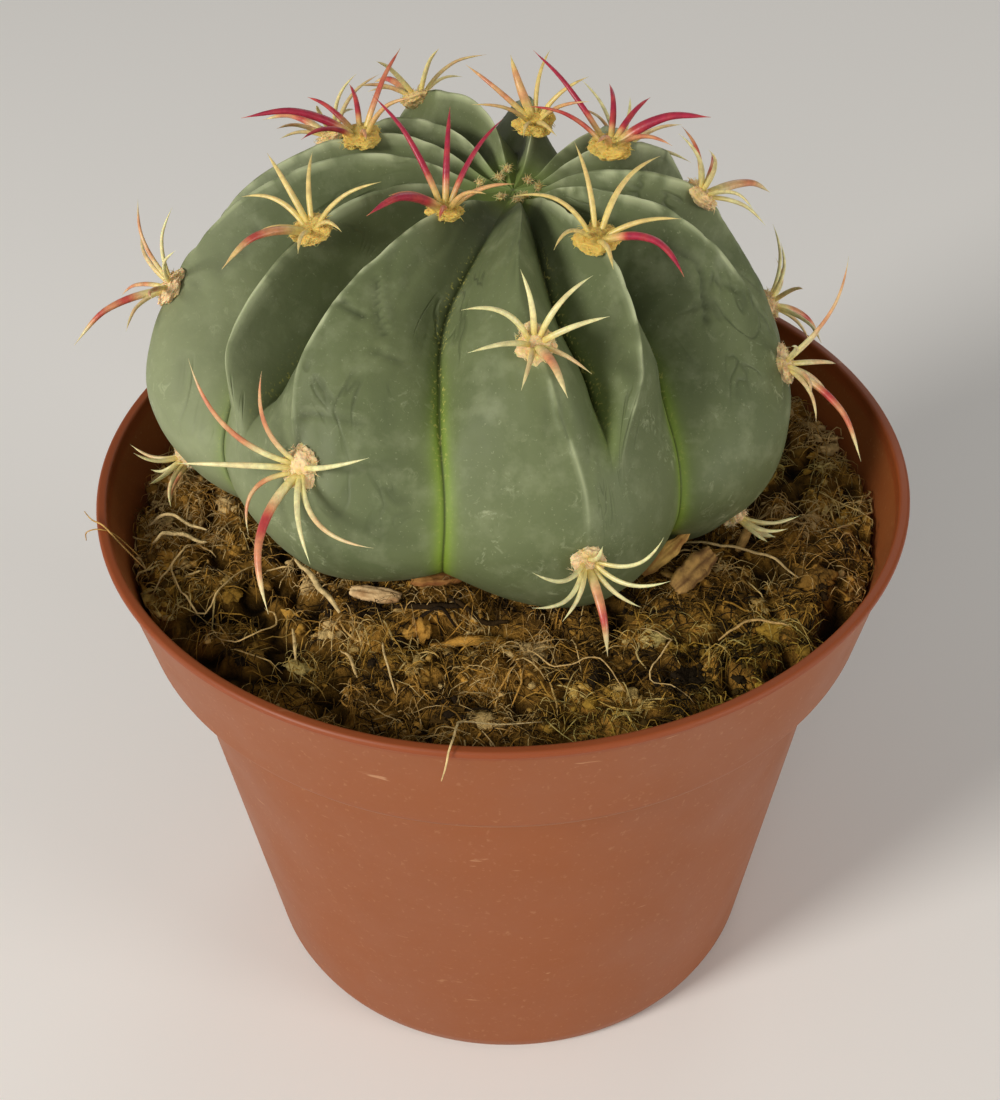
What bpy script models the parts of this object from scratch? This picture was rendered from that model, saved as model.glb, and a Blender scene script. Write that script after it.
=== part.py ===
"""Potted horse crippler cactus in a tapered plastic nursery pot.

Metres, +Z up. The origin is the middle of the pot's flat base. The front of the plant faces -Y.
An azimuth is in degrees round the plant: 0 at the front, 90 at the right (+X), 180 at the back.
A reach is the distance along a rib's crest from the growing tip, and a turn counts the ribs round
the plant: 2.0 is the groove to the left of rib 2 and 2.5 is that rib's crest.
"""

import math
import random

import bmesh
import bpy
import numpy as np
from mathutils import Matrix, Vector, noise

MM = 0.001
CLEARANCE = 0.35 * MM  # left between pieces that touch

# Pot: a 10.5 cm nursery pot
POT_HEIGHT = 78.3 * MM
RIM_RADIUS = 52.5 * MM
RIM_LIP = 1.5 * MM  # width of the flat rim, seen from above
RIM_FACE = 0.9 * MM  # height of the rim's outer face
COLLAR_DEPTH = 17.0 * MM
COLLAR_FOOT_RADIUS = 48.4 * MM
BODY_TOP_RADIUS = 44.6 * MM
BASE_RADIUS = 35.6 * MM
BASE_EDGE = 2.0 * MM  # rounding between wall and base
WALL = 1.1 * MM
CHANNEL_RISE = 2.0 * MM  # the ring-shaped drainage channel under the base
CHANNEL_INNER = 13.0 * MM
CHANNEL_OUTER = 23.0 * MM
CHANNEL_SLOPE = 1.5 * MM
DRAIN_HOLES = 8
DRAIN_HOLE_RADIUS = 2.6 * MM
DRAIN_HOLE_SIDES = 12
POT_STEPS = 44
POT_CREASE = 30  # degrees, above which an edge of the pot stays sharp

# Soil
SOIL_LEVEL = 71.3 * MM
SOIL_LUMP = 1.5 * MM
SOIL_LUMP_SIZE = 7.0 * MM
SOIL_EDGE_DROP = 2.6 * MM
SOIL_EDGE_WIDTH = 5.0 * MM
SOIL_FLOOR = 3.6 * MM
SOIL_RINGS = 5  # between the plant and the pot wall
SOIL_CREASE = 70
SOIL_CLEAR_OF_PLANT = 37.0 * MM
SOCKET_GAP = 1.05 * MM
LIP_SEARCH = (60.0, 100.0)  # reaches between which the stem goes into the soil
LIP_STEP = 0.5
SOCKET_RINGS = (0.94, 0.8, 0.62, 0.44, 0.28, 0.13, 0.0)  # from the root's end to the lip
FIBRES = 20
FIBRE_RADIUS = 0.5 * MM
FIBRE_SIDES = 3
FIBRE_LENGTH = (8 * MM, 17 * MM)
FIBRE_BEND = 0.9  # most that a fibre turns along its length, in radians
FIBRE_ARCH = 0.45 * MM  # height of its middle above the soil
FIBRE_DIVE = 7.0 * MM  # how steeply its ends go into the soil
FIBRE_PLACES = (30 * MM, 46 * MM)  # from the pot's middle
FIBRE_SEED = 7

# Stem: crest outline as (radius, height above the soil) in mm, from the growing tip to the root
CREST_OUTLINE = (
    (0.0, 36.8), (4.0, 37.8), (9.0, 40.8), (15.0, 42.6), (22.0, 41.8), (30.0, 37.3),
    (37.0, 29.5), (41.5, 21.0), (43.2, 13.5), (42.2, 7.5), (39.0, 3.0), (34.0, -0.3),
    (27.0, -2.8), (19.0, -4.8), (12.0, -7.2), (7.5, -11.5), (4.5, -18.0), (0.0, -22.0),
)
# The stem leans: (reach, x, y) of its middle in mm
STEM_MIDDLE = (
    (0, 2.0, 18.4), (8, 0.9, 16.9), (16, -0.7, 15.0), (26, -2.4, 12.9), (36, -3.9, 11.3),
    (46, -4.8, 10.4), (56, -4.5, 10.4), (66, -3.4, 11.2), (76, -2.6, 12.3), (100, -2.2, 12.6),
    (130, -2.2, 12.6),
)
# Where the low stem draws in: azimuth of its middle, share of the radius, how narrow (a power of the
# cosine) and the reaches between which it sets in. The back stays inside the pot's rim.
DRAWN_IN = ((180, 0.085, 1, (25, 55)), (288, 0.19, 4, (50, 74)),
            (340, 0.07, 8, (56, 76)), (50, 0.08, 10, (56, 76)))
STEM_RINGS = 23  # above the root
ROOT_REACH = 92
ROOT_RINGS = 5
COLUMNS_PER_RIB = 6
STEM_CREASE = 60

# Each rib: its name, the azimuths of its left groove and of its crest at six reaches, how deep
# the groove is against the usual depth, its extra depth at the soil and how far the crest stands
# above the usual outline, both in mm
AZIMUTH_REACHES = (10, 26, 38, 49, 62, 78)
RIBS = (
    ("left_front", (-44, -48, -48, -42.5, -41, -44), (-25, -34, -35.5, -27, -27, -38), 1.1, 0.0, 0.0),
    ("front", (2, -8, -8, -3, -2, -11), (15, 10.5, 16, 20.5, 18.5, 23), 0.8, 6.0, 0.0),
    ("front_right", (21, 26, 30, 26.5, 26, 30), (32, 38, 36.5, 29, 30, 34), 0.8, 0.0, 0.0),
    ("right", (44, 58, 55, 45, 42, 42), (54, 70, 77, 79, 65, 50), 1.0, 0.5, 0.0),
    ("right_back", (65, 84, 93, 92, 87, 87), (78, 93, 101, 103, 103, 105), 1.0, 2.0, -0.6),
    ("back_right_short", (91, 104, 112, 114, 113, 113), (102, 113, 121, 117, 117, 117), 1.0, 0.0, -0.5),
    ("back_right", (112, 122, 129, 131, 131, 131), (122, 132, 140, 146, 148, 150), 1.0, 2.0, -1.2),
    ("back_short", (138, 148, 155, 161, 161, 161), (154, 165, 170, 165, 165, 165), 1.0, 0.0, -0.3),
    ("back_left", (168, 180, 184, 179, 176, 176), (182, 194, 197, 198, 198, 198), 1.0, 2.0, 0.3),
    ("left_back", (195, 207, 211, 218, 221, 221), (208, 219, 224, 233, 236, 238), 1.0, 2.0, -1.4),
    ("left_back_short", (221, 232, 239, 247, 247, 247), (233, 244, 250, 251, 251, 251), 1.0, 0.0, -0.8),
    ("left", (246, 254, 260, 265, 266, 266), (260, 264, 270, 282, 292, 290), 1.0, 2.0, 0.0),
    ("left_short", (274, 283, 293, 306, 312, 309), (295, 300, 303, 315, 316, 313), 1.0, 2.0, 0.0),
)
# The broad ribs at the base: the rib whose left groove starts each, and the rib whose crest it keeps
BROAD_RIBS = (
    ("left_short", "left_front"), ("front", "front"), ("right", "right"),
    ("right_back", "right_back"), ("back_right", "back_right"), ("back_left", "back_left"),
    ("left_back", "left_back"), ("left", "left"),
)
SHORT_RIBS_FADE = (39, 49)  # reaches between which the short ribs run out into their neighbours
# (reach, depth of the grooves) and (reach, bulge of the flanks, 0 flat and 1 rounded at the crest)
GROOVE_DEPTH = ((0, 0.3), (5, 1.2), (10, 3.4), (17, 6.6), (24, 9.2), (31, 10.2), (38, 9.2),
                (45, 6.8), (52, 4.8), (60, 3.8), (68, 3.2), (84, 2.6), (94, 1.2), (104, 0.0))
FOOT_DEEPENS = (56, 76)
FOOT_ENDS = (84, 102)
CREST_STANDS = (6, 20)
FLANK_BULGE = ((0, 0.1), (25, 0.15), (36, 0.4), (49, 0.9))

# Spine clusters: rib, reach, size of the woolly pad (across, along the rib) in mm, colour
CLUSTERS = (
    ("left_front", 14.5, (4.6, 4.2), "crimson"),
    ("left_front", 47.7, (4.2, 5.2), "cream"),
    ("front", 32.8, (4.4, 4.6), "cream"),
    ("front", 58.4, (4.0, 3.8), "cream"),
    ("front_right", 22.6, (5.6, 4.8), "cream"),
    ("right", 52.4, (4.2, 5.2), "cream"),
    ("right", 69.0, (3.2, 3.2), "cream"),
    ("right_back", 32.4, (5.0, 4.4), "cream"),
    ("right_back", 56.0, (4.2, 4.2), "cream"),
    ("back_right_short", 17.0, (6.0, 5.0), "crimson"),
    ("back_right", 38.0, (4.6, 4.8), "cream"),
    ("back_right", 61.0, (3.8, 3.8), "cream"),
    ("back_short", 13.2, (5.0, 4.4), "cream"),
    ("back_left", 30.0, (4.8, 4.6), "cream"),
    ("back_left", 54.0, (4.2, 4.4), "cream"),
    ("left_back", 31.5, (4.8, 4.6), "cream"),
    ("left_back", 60.0, (3.8, 3.8), "cream"),
    ("left_back_short", 20.0, (6.4, 5.0), "crimson"),
    ("left", 42.6, (4.4, 4.8), "cream"),
    ("left", 62.0, (3.4, 3.4), "cream"),
    ("left_short", 24.7, (5.4, 5.0), "cream"),
)
PAD_THICKNESS = 2.4 * MM
PAD_LUMPS = (0.9, 1.04)
PAD_LIFT = 0.45 * MM  # of the pad's middle above the crest
SPINE_RADIUS = 0.5 * MM
CENTRAL_RADIUS = 0.8 * MM
SPINE_SIDES = 3
CENTRAL_SIDES = 4
CRIMSON_THICKER = 1.15
# Where along a spine its rings lie, and their radius against the radius at its root
SPINE_TAPER = ((0.0, 1.0), (0.22, 0.95), (0.5, 0.72), (0.78, 0.42))
SPINE_BOW = 0.11  # share of its length by which a spine arches off its straight line
SPINE_SEED = 11
# A spine is its clock position round the pad (0 up the rib, 90 to the right seen from outside), its
# lift off the skin in degrees and its length in mm. The last of each cluster is the thick central.
# These are the clusters on the side with the open view; the others follow the usual one.
SPINES = {
    "left_front_14": ((280, 40, 17), (325, 50, 13), (5, 42, 13.5), (60, 25, 9), (108, 30, 9),
                      (150, 12, 7), (215, 18, 7.5), (185, 14, 14)),
    "left_front_47": ((328, 22, 17.5), (0, 25, 12.5), (280, 22, 14), (220, 22, 9.5), (166, 25, 12),
                      (133, 15, 14.5), (88, 15, 11), (186, 30, 17.5)),
    "front_32": ((302, 25, 10), (3, 28, 8.5), (61, 25, 10), (94, 25, 9), (150, 30, 8.5),
                 (217, 32, 9), (268, 30, 10), (184, 40, 11.5)),
    "front_58": ((296, 30, 11), (268, 34, 10.5), (235, 40, 8), (132, 36, 8), (88, 44, 10),
                 (50, 34, 10.5), (5, 38, 5.5), (182, 44, 11)),
    "front_right_22": ((307, 22, 11.5), (15, 25, 12), (69, 25, 13), (122, 24, 10), (205, 18, 8),
                       (255, 22, 9.5), (170, 20, 13.5)),
    "right_52": ((18, 40, 15.5), (62, 25, 9), (96, 22, 10.5), (135, 20, 9), (237, 25, 10),
                 (280, 22, 9), (205, 20, 9.5), (178, 28, 15.5)),
    "right_69": ((300, 40, 6.5), (330, 36, 7.5), (0, 34, 8), (30, 36, 7.5), (55, 48, 6.5),
                 (350, 62, 5.5)),
    "right_back_32": ((71, 20, 9.5), (1, 20, 11), (334, 28, 12), (281, 25, 11), (115, 20, 9),
                      (215, 20, 9), (165, 25, 13)),
    "back_right_short_17": ((70, 30, 16.5), (112, 20, 10.5), (20, 30, 12), (240, 18, 10),
                            (150, 20, 9), (305, 30, 9), (200, 18, 13)),
    "back_short_13": ((121, 25, 11.5), (189, 18, 10), (283, 35, 10), (240, 25, 9), (61, 45, 10.5),
                      (0, 35, 8), (325, 30, 8), (155, 35, 9)),
    "left_back_short_20": ((130, 20, 10.5), (223, 20, 10), (303, 36, 13), (78, 18, 9),
                           (20, 35, 10), (260, 25, 9), (165, 24, 15.5)),
    "left_42": ((343, 45, 11.5), (309, 30, 10), (20, 30, 10), (70, 22, 9), (115, 20, 9),
                (161, 20, 9), (250, 22, 9), (196, 30, 14)),
    "left_short_24": ((290, 30, 11.5), (256, 20, 10), (322, 25, 10), (135, 20, 8), (91, 20, 8),
                      (43, 22, 11), (215, 18, 7), (177, 22, 13.5)),
}
USUAL_VARIES = (8, 4, 0.13)  # clock and lift in degrees, and share of the length
USUAL_SPINES = ((8, 28, 9), (58, 24, 10), (98, 20, 9.5), (142, 20, 8), (218, 20, 8), (262, 20, 9.5),
                (306, 24, 10), (180, 34, 11.5))
LOW_REACH = 58  # below this reach a cluster has no room for spines that point down
LOW_SPINES = ((8, 34, 7.5), (55, 34, 8), (90, 40, 7), (270, 40, 7), (308, 34, 8), (175, 66, 6))

# Flakes of bark on the soil: name, place (x, y), size (long, wide, thick) and seat above the soil
# level in mm, the direction of the long side and how far it leans on the stem, in degrees
CHIPS = (
    ("bark_chip_pale", (-16.0, -20.8), (6.4, 2.4, 1.2), 1.8, -14, 0),
    ("bark_chip_orange", (-8.4, -18.6), (6.4, 2.0, 1.2), 2.2, 4, 0),
    ("bark_chip_brown", (23.6, -17.4), (8.6, 3.4, 1.2), 1.0, 52, 38),
)
CHIP_SEAT = 4.6 * MM  # radius of the flat patch under a flake
CHIP_SEAT_EDGE = 1.7  # share of that radius at which the soil is itself again
CHIP_TAPER = 0.35
CHIP_CREASE = 30

GREEN = (0.115, 0.165, 0.085)
TERRACOTTA = (0.37, 0.125, 0.05)
PEAT = (0.075, 0.045, 0.018)
CREAM = (0.72, 0.58, 0.24)
CRIMSON = (0.38, 0.025, 0.06)
BARK = (0.5, 0.25, 0.07)


def clear_scene():
    for thing in list(bpy.data.objects):
        bpy.data.objects.remove(thing)


def collection(name):
    made = bpy.data.collections.new(name)
    bpy.context.scene.collection.children.link(made)
    return made


def material(name, colour, roughness):
    made = bpy.data.materials.new(name)
    made.use_nodes = True
    shader = made.node_tree.nodes["Principled BSDF"]
    shader.inputs["Base Color"].default_value = (*colour, 1.0)
    shader.inputs["Roughness"].default_value = roughness
    shader.inputs["Metallic"].default_value = 0.0
    made.diffuse_color = (*colour, 1.0)
    return made


def mesh_object(name, bm, home, finish=None, smooth_angle=40):
    bmesh.ops.recalc_face_normals(bm, faces=bm.faces)
    if bm.calc_volume(signed=True) < 0:
        bmesh.ops.reverse_faces(bm, faces=bm.faces)
    mesh = bpy.data.meshes.new(name)
    bm.to_mesh(mesh)
    bm.free()
    made = bpy.data.objects.new(name, mesh)
    home.objects.link(made)
    if finish is not None:
        mesh.materials.append(finish)
        mesh.shade_smooth()
        mesh.set_sharp_from_angle(angle=math.radians(smooth_angle))
    return made


def helper(made):
    made.hide_render = True
    made.display_type = "WIRE"
    return made


def apply_boolean(target, operation, others):
    """Joins or cuts a collection's objects, applies the result and removes them."""
    cut = target.modifiers.new("join" if operation == "UNION" else "cut", "BOOLEAN")
    cut.operation = operation
    cut.operand_type = "COLLECTION"
    cut.collection = others
    graph = bpy.context.evaluated_depsgraph_get()
    joined = bpy.data.meshes.new_from_object(target.evaluated_get(graph))
    target.modifiers.clear()
    target.data = joined
    for thing in list(others.objects):
        bpy.data.objects.remove(thing)
    bpy.data.collections.remove(others)


def loft(rings, first_pole=None, last_pole=None):
    """A closed skin through rings of equal count, with a pole or a flat cap at each end."""
    bm = bmesh.new()
    rows = [[bm.verts.new(p) for p in ring] for ring in rings]
    count = len(rows[0])
    for low, high in zip(rows, rows[1:]):
        for k in range(count):
            after = (k + 1) % count
            bm.faces.new((low[k], low[after], high[after], high[k]))
    for row, pole in ((rows[0], first_pole), (rows[-1], last_pole)):
        if pole is None:
            bm.faces.new(row)
            continue
        tip = bm.verts.new(pole)
        for k in range(count):
            bm.faces.new((row[k], row[(k + 1) % count], tip))
    return bm


def smooth_path(points, per_span=12):
    """Points along a Catmull-Rom curve through the given ones, as an array."""
    points = np.asarray(points, float)
    ends = np.vstack([2 * points[0] - points[1], points, 2 * points[-1] - points[-2]])
    found = []
    for a, b, c, d in zip(ends, ends[1:], ends[2:], ends[3:]):
        for step in range(per_span):
            u = step / per_span
            found.append(0.5 * (2 * b + (c - a) * u + (2 * a - 5 * b + 4 * c - d) * u * u
                                + (3 * b - a - 3 * c + d) * u ** 3))
    found.append(points[-1])
    return np.array(found)


def ramp(pairs, x):
    return float(np.interp(x, [p[0] for p in pairs], [p[1] for p in pairs]))


def smoothstep(low, high, x):
    u = min(max((x - low) / (high - low), 0.0), 1.0)
    return u * u * (3 - 2 * u)


# The crest outline and the reach of each of its points, in mm
OUTLINE = smooth_path(CREST_OUTLINE)
REACHES = np.concatenate([[0.0], np.cumsum(np.linalg.norm(np.diff(OUTLINE, axis=0), axis=1))])
ROOT_END = REACHES[-1]
MIDDLE = smooth_path(STEM_MIDDLE)
RIB_INDEX = {row[0]: i for i, row in enumerate(RIBS)}


def crest_outline(reach):
    """(radius, height above the soil) on the crest outline, and its outward normal, in mm."""
    def at(where):
        where = min(max(where, 0.0), ROOT_END)
        return np.array([np.interp(where, REACHES, OUTLINE[:, k]) for k in (0, 1)])
    along = at(reach + 0.8) - at(reach - 0.8)
    along /= np.linalg.norm(along)
    return at(reach), np.array([-along[1], along[0]])


def knots(reach):
    """Azimuths of groove, crest, groove, crest ... round the plant at a reach."""
    found = []
    for row in RIBS:
        found.append(float(np.interp(reach, AZIMUTH_REACHES, row[1])))
        found.append(float(np.interp(reach, AZIMUTH_REACHES, row[2])))
    found.append(found[0] + 360)
    return found


def groove_depth(index, reach):
    """Depth of the groove to the left of a rib, in mm."""
    row = RIBS[index % len(RIBS)]
    foot = smoothstep(*FOOT_DEEPENS, reach) * (1 - smoothstep(*FOOT_ENDS, reach))
    return row[3] * ramp(GROOVE_DEPTH, reach) + row[4] * foot


def flank(share, bulge):
    """Height across a flank, from 0 in the groove to 1 on the crest."""
    return share + bulge * share * (1 - share)


def broad_fall(azimuth, reach, lines, bulge):
    """How far a point lies below the crests where only the broad ribs are left, in mm."""
    for n, (start, kept) in enumerate(BROAD_RIBS):
        following = BROAD_RIBS[(n + 1) % len(BROAD_RIBS)][0]
        left = lines[2 * RIB_INDEX[start]]
        width = (lines[2 * RIB_INDEX[following]] - left) % 360
        inside = (azimuth - left) % 360
        if inside > width:
            continue
        crest = (lines[2 * RIB_INDEX[kept] + 1] - left) % 360
        if inside <= crest:
            return groove_depth(RIB_INDEX[start], reach) * (1 - flank(inside / crest, bulge))
        share = (width - inside) / (width - crest)
        return groove_depth(RIB_INDEX[following], reach) * (1 - flank(share, bulge))
    return groove_depth(0, reach)


def stem_point(turn, reach, outward=0.0):
    """A point of the stem's skin, moved outward by a distance in metres."""
    lines = knots(reach)
    half = int(2 * turn + 1e-6)
    share = 2 * turn - half
    azimuth = lines[half] + (lines[half + 1] - lines[half]) * share
    height = share if half % 2 == 0 else 1 - share
    bulge = ramp(FLANK_BULGE, reach)
    sharp = groove_depth((half + 1) // 2, reach) * (1 - flank(height, bulge))
    sharp -= RIBS[half // 2][5] * height * smoothstep(*CREST_STANDS, reach)
    fade = smoothstep(*SHORT_RIBS_FADE, reach)
    fall = sharp + (broad_fall(azimuth, reach, lines, bulge) - sharp) * fade
    (radius, rise), normal = crest_outline(reach)
    out = max(radius * MM + normal[0] * (outward - fall * MM), 0.0)
    for facing, share, power, between in DRAWN_IN:
        near = max(math.cos(math.radians(azimuth - facing)), 0.0) ** power
        out *= 1 - share * near * smoothstep(*between, reach)
    up = rise * MM + normal[1] * (outward - fall * MM)
    middle = [np.interp(reach, MIDDLE[:, 0], MIDDLE[:, k]) * MM for k in (1, 2)]
    angle = math.radians(azimuth)
    return Vector((middle[0] + out * math.sin(angle), middle[1] - out * math.cos(angle),
                   SOIL_LEVEL + up))


def stem_frame(rib, reach):
    """Place of an areole on a rib's crest, with its outward, up-the-rib and right directions."""
    turn = RIB_INDEX[rib] + 0.5
    here = stem_point(turn, reach)
    up = (stem_point(turn, reach - 1.5) - stem_point(turn, reach + 1.5)).normalized()
    (_, _), normal = crest_outline(reach)
    azimuth = math.radians(knots(reach)[2 * RIB_INDEX[rib] + 1])
    out = Vector((normal[0] * math.sin(azimuth), -normal[0] * math.cos(azimuth), normal[1]))
    out = (out - up * out.dot(up)).normalized()
    return here, out, up, up.cross(out)


def make_pot(home, finish):
    """A turned shell with a stepped collar, a channelled base and drain holes."""
    step = COLLAR_FOOT_RADIUS - BODY_TOP_RADIUS
    collar_foot = POT_HEIGHT - COLLAR_DEPTH
    outer = [
        (RIM_RADIUS - 0.3 * MM, POT_HEIGHT), (RIM_RADIUS, POT_HEIGHT - 0.3 * MM),
        (RIM_RADIUS, POT_HEIGHT - RIM_FACE),
        (RIM_RADIUS - 0.7 * MM, POT_HEIGHT - RIM_FACE - 0.3 * MM),
        (COLLAR_FOOT_RADIUS + 0.15 * MM, collar_foot + 0.8 * MM),
        (COLLAR_FOOT_RADIUS - 0.6 * MM, collar_foot - 0.2 * MM),
        (BODY_TOP_RADIUS + 0.25 * step, collar_foot - 1.3 * MM),
        (BODY_TOP_RADIUS - 0.05 * MM, collar_foot - 2.6 * MM),
        (BASE_RADIUS + 0.2 * MM, BASE_EDGE + 0.5 * MM),
        (BASE_RADIUS - 0.5 * MM, BASE_EDGE * 0.35), (BASE_RADIUS - 1.8 * MM, 0.0),
        (CHANNEL_OUTER + CHANNEL_SLOPE, 0.0), (CHANNEL_OUTER, CHANNEL_RISE),
        (CHANNEL_INNER + CHANNEL_SLOPE, CHANNEL_RISE), (CHANNEL_INNER, 0.0), (0.0, 0.0),
    ]
    inner = [
        (0.0, WALL), (CHANNEL_INNER - 0.5 * MM, WALL),
        (CHANNEL_INNER + 1.0 * MM, CHANNEL_RISE + WALL),
        (CHANNEL_OUTER + 0.5 * MM, CHANNEL_RISE + WALL), (CHANNEL_OUTER + 2.0 * MM, WALL),
        (BASE_RADIUS - 2.2 * MM, WALL), (BASE_RADIUS - WALL, BASE_EDGE + 1.2 * MM),
        (BODY_TOP_RADIUS - WALL, collar_foot - 2.2 * MM),
        (COLLAR_FOOT_RADIUS - WALL - 1.0 * MM, collar_foot + 0.2 * MM),
        (COLLAR_FOOT_RADIUS - WALL + 0.1 * MM, collar_foot + 1.2 * MM),
        (RIM_RADIUS - RIM_LIP, POT_HEIGHT - 1.2 * MM), (RIM_RADIUS - RIM_LIP + 0.1 * MM, POT_HEIGHT),
    ]
    bm = bmesh.new()
    corners = [bm.verts.new((r, 0.0, z)) for r, z in inner + outer]
    for a, b in zip(corners, corners[1:]):
        bm.edges.new((a, b))
    mesh = bpy.data.meshes.new("pot")
    bm.to_mesh(mesh)
    bm.free()
    pot = bpy.data.objects.new("pot", mesh)
    home.objects.link(pot)
    turned = pot.modifiers.new("turned", "SCREW")
    turned.steps = POT_STEPS
    turned.render_steps = POT_STEPS
    turned.use_merge_vertices = True
    turned.merge_threshold = 0.00001
    cutters = collection("pot_cutters")
    for k in range(DRAIN_HOLES):
        bm = bmesh.new()
        bmesh.ops.create_cone(bm, cap_ends=True, segments=DRAIN_HOLE_SIDES, radius1=DRAIN_HOLE_RADIUS,
                              radius2=DRAIN_HOLE_RADIUS, depth=6 * WALL)
        angle = 2 * math.pi * (k + 0.5) / DRAIN_HOLES
        middle = (CHANNEL_INNER + CHANNEL_SLOPE + CHANNEL_OUTER) / 2
        spot = Vector((middle * math.cos(angle), middle * math.sin(angle), CHANNEL_RISE))
        bmesh.ops.translate(bm, verts=bm.verts, vec=spot)
        helper(mesh_object(f"drain_hole_{k}", bm, cutters))
    apply_boolean(pot, "DIFFERENCE", cutters)
    pot.data.materials.clear()
    pot.data.materials.append(finish)
    pot.data.shade_smooth()
    pot.data.set_sharp_from_angle(angle=math.radians(POT_CREASE))
    return pot


def make_stem(home, finish):
    """A sphere whose columns follow the ribs' crests and grooves, drawn down into a short root."""
    columns = COLUMNS_PER_RIB * len(RIBS)
    rings = STEM_RINGS + ROOT_RINGS
    bm = bmesh.new()
    bmesh.ops.create_uvsphere(bm, u_segments=columns, v_segments=rings, radius=1.0)
    for vert in bm.verts:
        ring = round(math.acos(max(-1.0, min(1.0, vert.co.z))) / math.pi * rings)
        column = round(math.atan2(vert.co.y, vert.co.x) / (2 * math.pi) * columns) % columns
        reach = np.interp(ring, (0, STEM_RINGS, rings), (0, ROOT_REACH, ROOT_END))
        vert.co = stem_point(column / COLUMNS_PER_RIB, reach)
    return mesh_object("stem", bm, home, finish, STEM_CREASE)


def tube(name, points, radii, sides, home, tip=None):
    """A closed tapered tube along points, flat at its root and drawn to a point if there's a tip."""
    rings = []
    for k, (point, radius) in enumerate(zip(points, radii)):
        before = points[max(k - 1, 0)]
        after = points[k + 1] if k + 1 < len(points) else (tip or point)
        along = (after - before).normalized()
        side = along.orthogonal().normalized() if k == 0 else side - along * side.dot(along)
        side.normalize()
        across = along.cross(side)
        rings.append([point + (side * math.cos(a) + across * math.sin(a)) * radius
                      for a in (2 * math.pi * j / sides for j in range(sides))])
    return mesh_object(name, loft(rings, None, tip), home)


def spine(name, root, out, up, right, clock, lift, length, radius, sides, home):
    """One spine, from inside the pad: it rises, then arches over towards the skin."""
    turn = math.radians(clock)
    flat = up * math.cos(turn) + right * math.sin(turn)
    rise = math.radians(lift)
    aim = flat * math.cos(rise) + out * math.sin(rise)
    tip = root + aim * length
    bend = (out - aim * out.dot(aim)).normalized()
    knee = root + aim * length * 0.5 + bend * length * 2 * SPINE_BOW
    points = [root * (1 - u) ** 2 + knee * 2 * u * (1 - u) + tip * u * u for u, _ in SPINE_TAPER]
    radii = [radius * share for _, share in SPINE_TAPER]
    return tube(name, points, radii, sides, home, tip)


def pad_matrix(here, out, up, right, size, grow=0.0):
    """Places a unit sphere as a woolly pad on a crest."""
    scale = Matrix.Diagonal((size[0] / 2 * MM + grow, size[1] / 2 * MM + grow,
                             PAD_THICKNESS / 2 + grow, 1.0))
    turn = Matrix((right, up, out)).transposed().to_4x4()
    return Matrix.Translation(here + out * PAD_LIFT) @ turn @ scale


def spines_of(name, reach, draw):
    """The spines of a cluster: its own, or the usual ones varied a little."""
    if name in SPINES:
        return SPINES[name]
    found = []
    for clock, lift, length in LOW_SPINES if reach > LOW_REACH else USUAL_SPINES:
        found.append((clock + draw.uniform(-1, 1) * USUAL_VARIES[0],
                      lift + draw.uniform(-1, 1) * USUAL_VARIES[1],
                      length * (1 + draw.uniform(-1, 1) * USUAL_VARIES[2])))
    return found


def make_cluster(name, rib, reach, size, colour, home, finish, draw):
    """A woolly pad with its spines, joined in one body."""
    here, out, up, right = stem_frame(rib, reach)
    bm = bmesh.new()
    bmesh.ops.create_icosphere(bm, subdivisions=1, radius=1.0)
    for vert in bm.verts:
        vert.co *= draw.uniform(*PAD_LUMPS)
    bm.transform(pad_matrix(here, out, up, right, size))
    pad = mesh_object("spines_" + name, bm, home, finish)
    others = collection(name + "_spines")
    root = here + out * PAD_LIFT
    spines = spines_of(name, reach, draw)
    for k, (clock, lift, length) in enumerate(spines):
        central = k == len(spines) - 1
        radius = CENTRAL_RADIUS if central else SPINE_RADIUS
        if colour == "crimson":
            radius *= CRIMSON_THICKER
        helper(spine(f"{name}_{k}", root, out, up, right, clock, lift, length * MM, radius,
                     CENTRAL_SIDES if central else SPINE_SIDES, others))
    apply_boolean(pad, "UNION", others)
    return pad


def notch(name, rib, reach, size, home):
    """The dent in the crest that a pad sits in."""
    here, out, up, right = stem_frame(rib, reach)
    bm = bmesh.new()
    bmesh.ops.create_icosphere(bm, subdivisions=1, radius=1.0)
    bm.transform(pad_matrix(here, out, up, right, size, 1.35 * CLEARANCE))
    return helper(mesh_object(name, bm, home))


def soil_height(x, y):
    """Height of the soil's surface at a place: lumps, flat where a chip of bark lies."""
    here = Vector((x, y, 0.0)) / SOIL_LUMP_SIZE
    lumps = noise.noise(here) + 0.5 * noise.noise(here * 2.3 + Vector((5.0, 1.0, 0.0)))
    height = SOIL_LUMP * lumps
    for _, spot, _, seat, _, _ in CHIPS:
        away = math.hypot(x - spot[0] * MM, y - spot[1] * MM)
        height += (seat * MM - height) * (1 - smoothstep(CHIP_SEAT, CHIP_SEAT * CHIP_SEAT_EDGE, away))
    return SOIL_LEVEL + height


def wall_radius(height):
    """Inner radius of the pot at a height."""
    collar_foot = POT_HEIGHT - COLLAR_DEPTH
    heights = (BASE_EDGE + 1.2 * MM, collar_foot - 2.2 * MM, collar_foot + 1.2 * MM, POT_HEIGHT)
    radii = (BASE_RADIUS - WALL, BODY_TOP_RADIUS - WALL, COLLAR_FOOT_RADIUS - WALL + 0.1 * MM,
             RIM_RADIUS - RIM_LIP)
    return float(np.interp(height, heights, radii))


def lip_reach(turn):
    """The reach at which the socket round the stem comes up to the soil's level."""
    reach = LIP_SEARCH[0]
    while reach < LIP_SEARCH[1] and stem_point(turn, reach, SOCKET_GAP).z > SOIL_LEVEL:
        reach += LIP_STEP
    return reach


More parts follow.
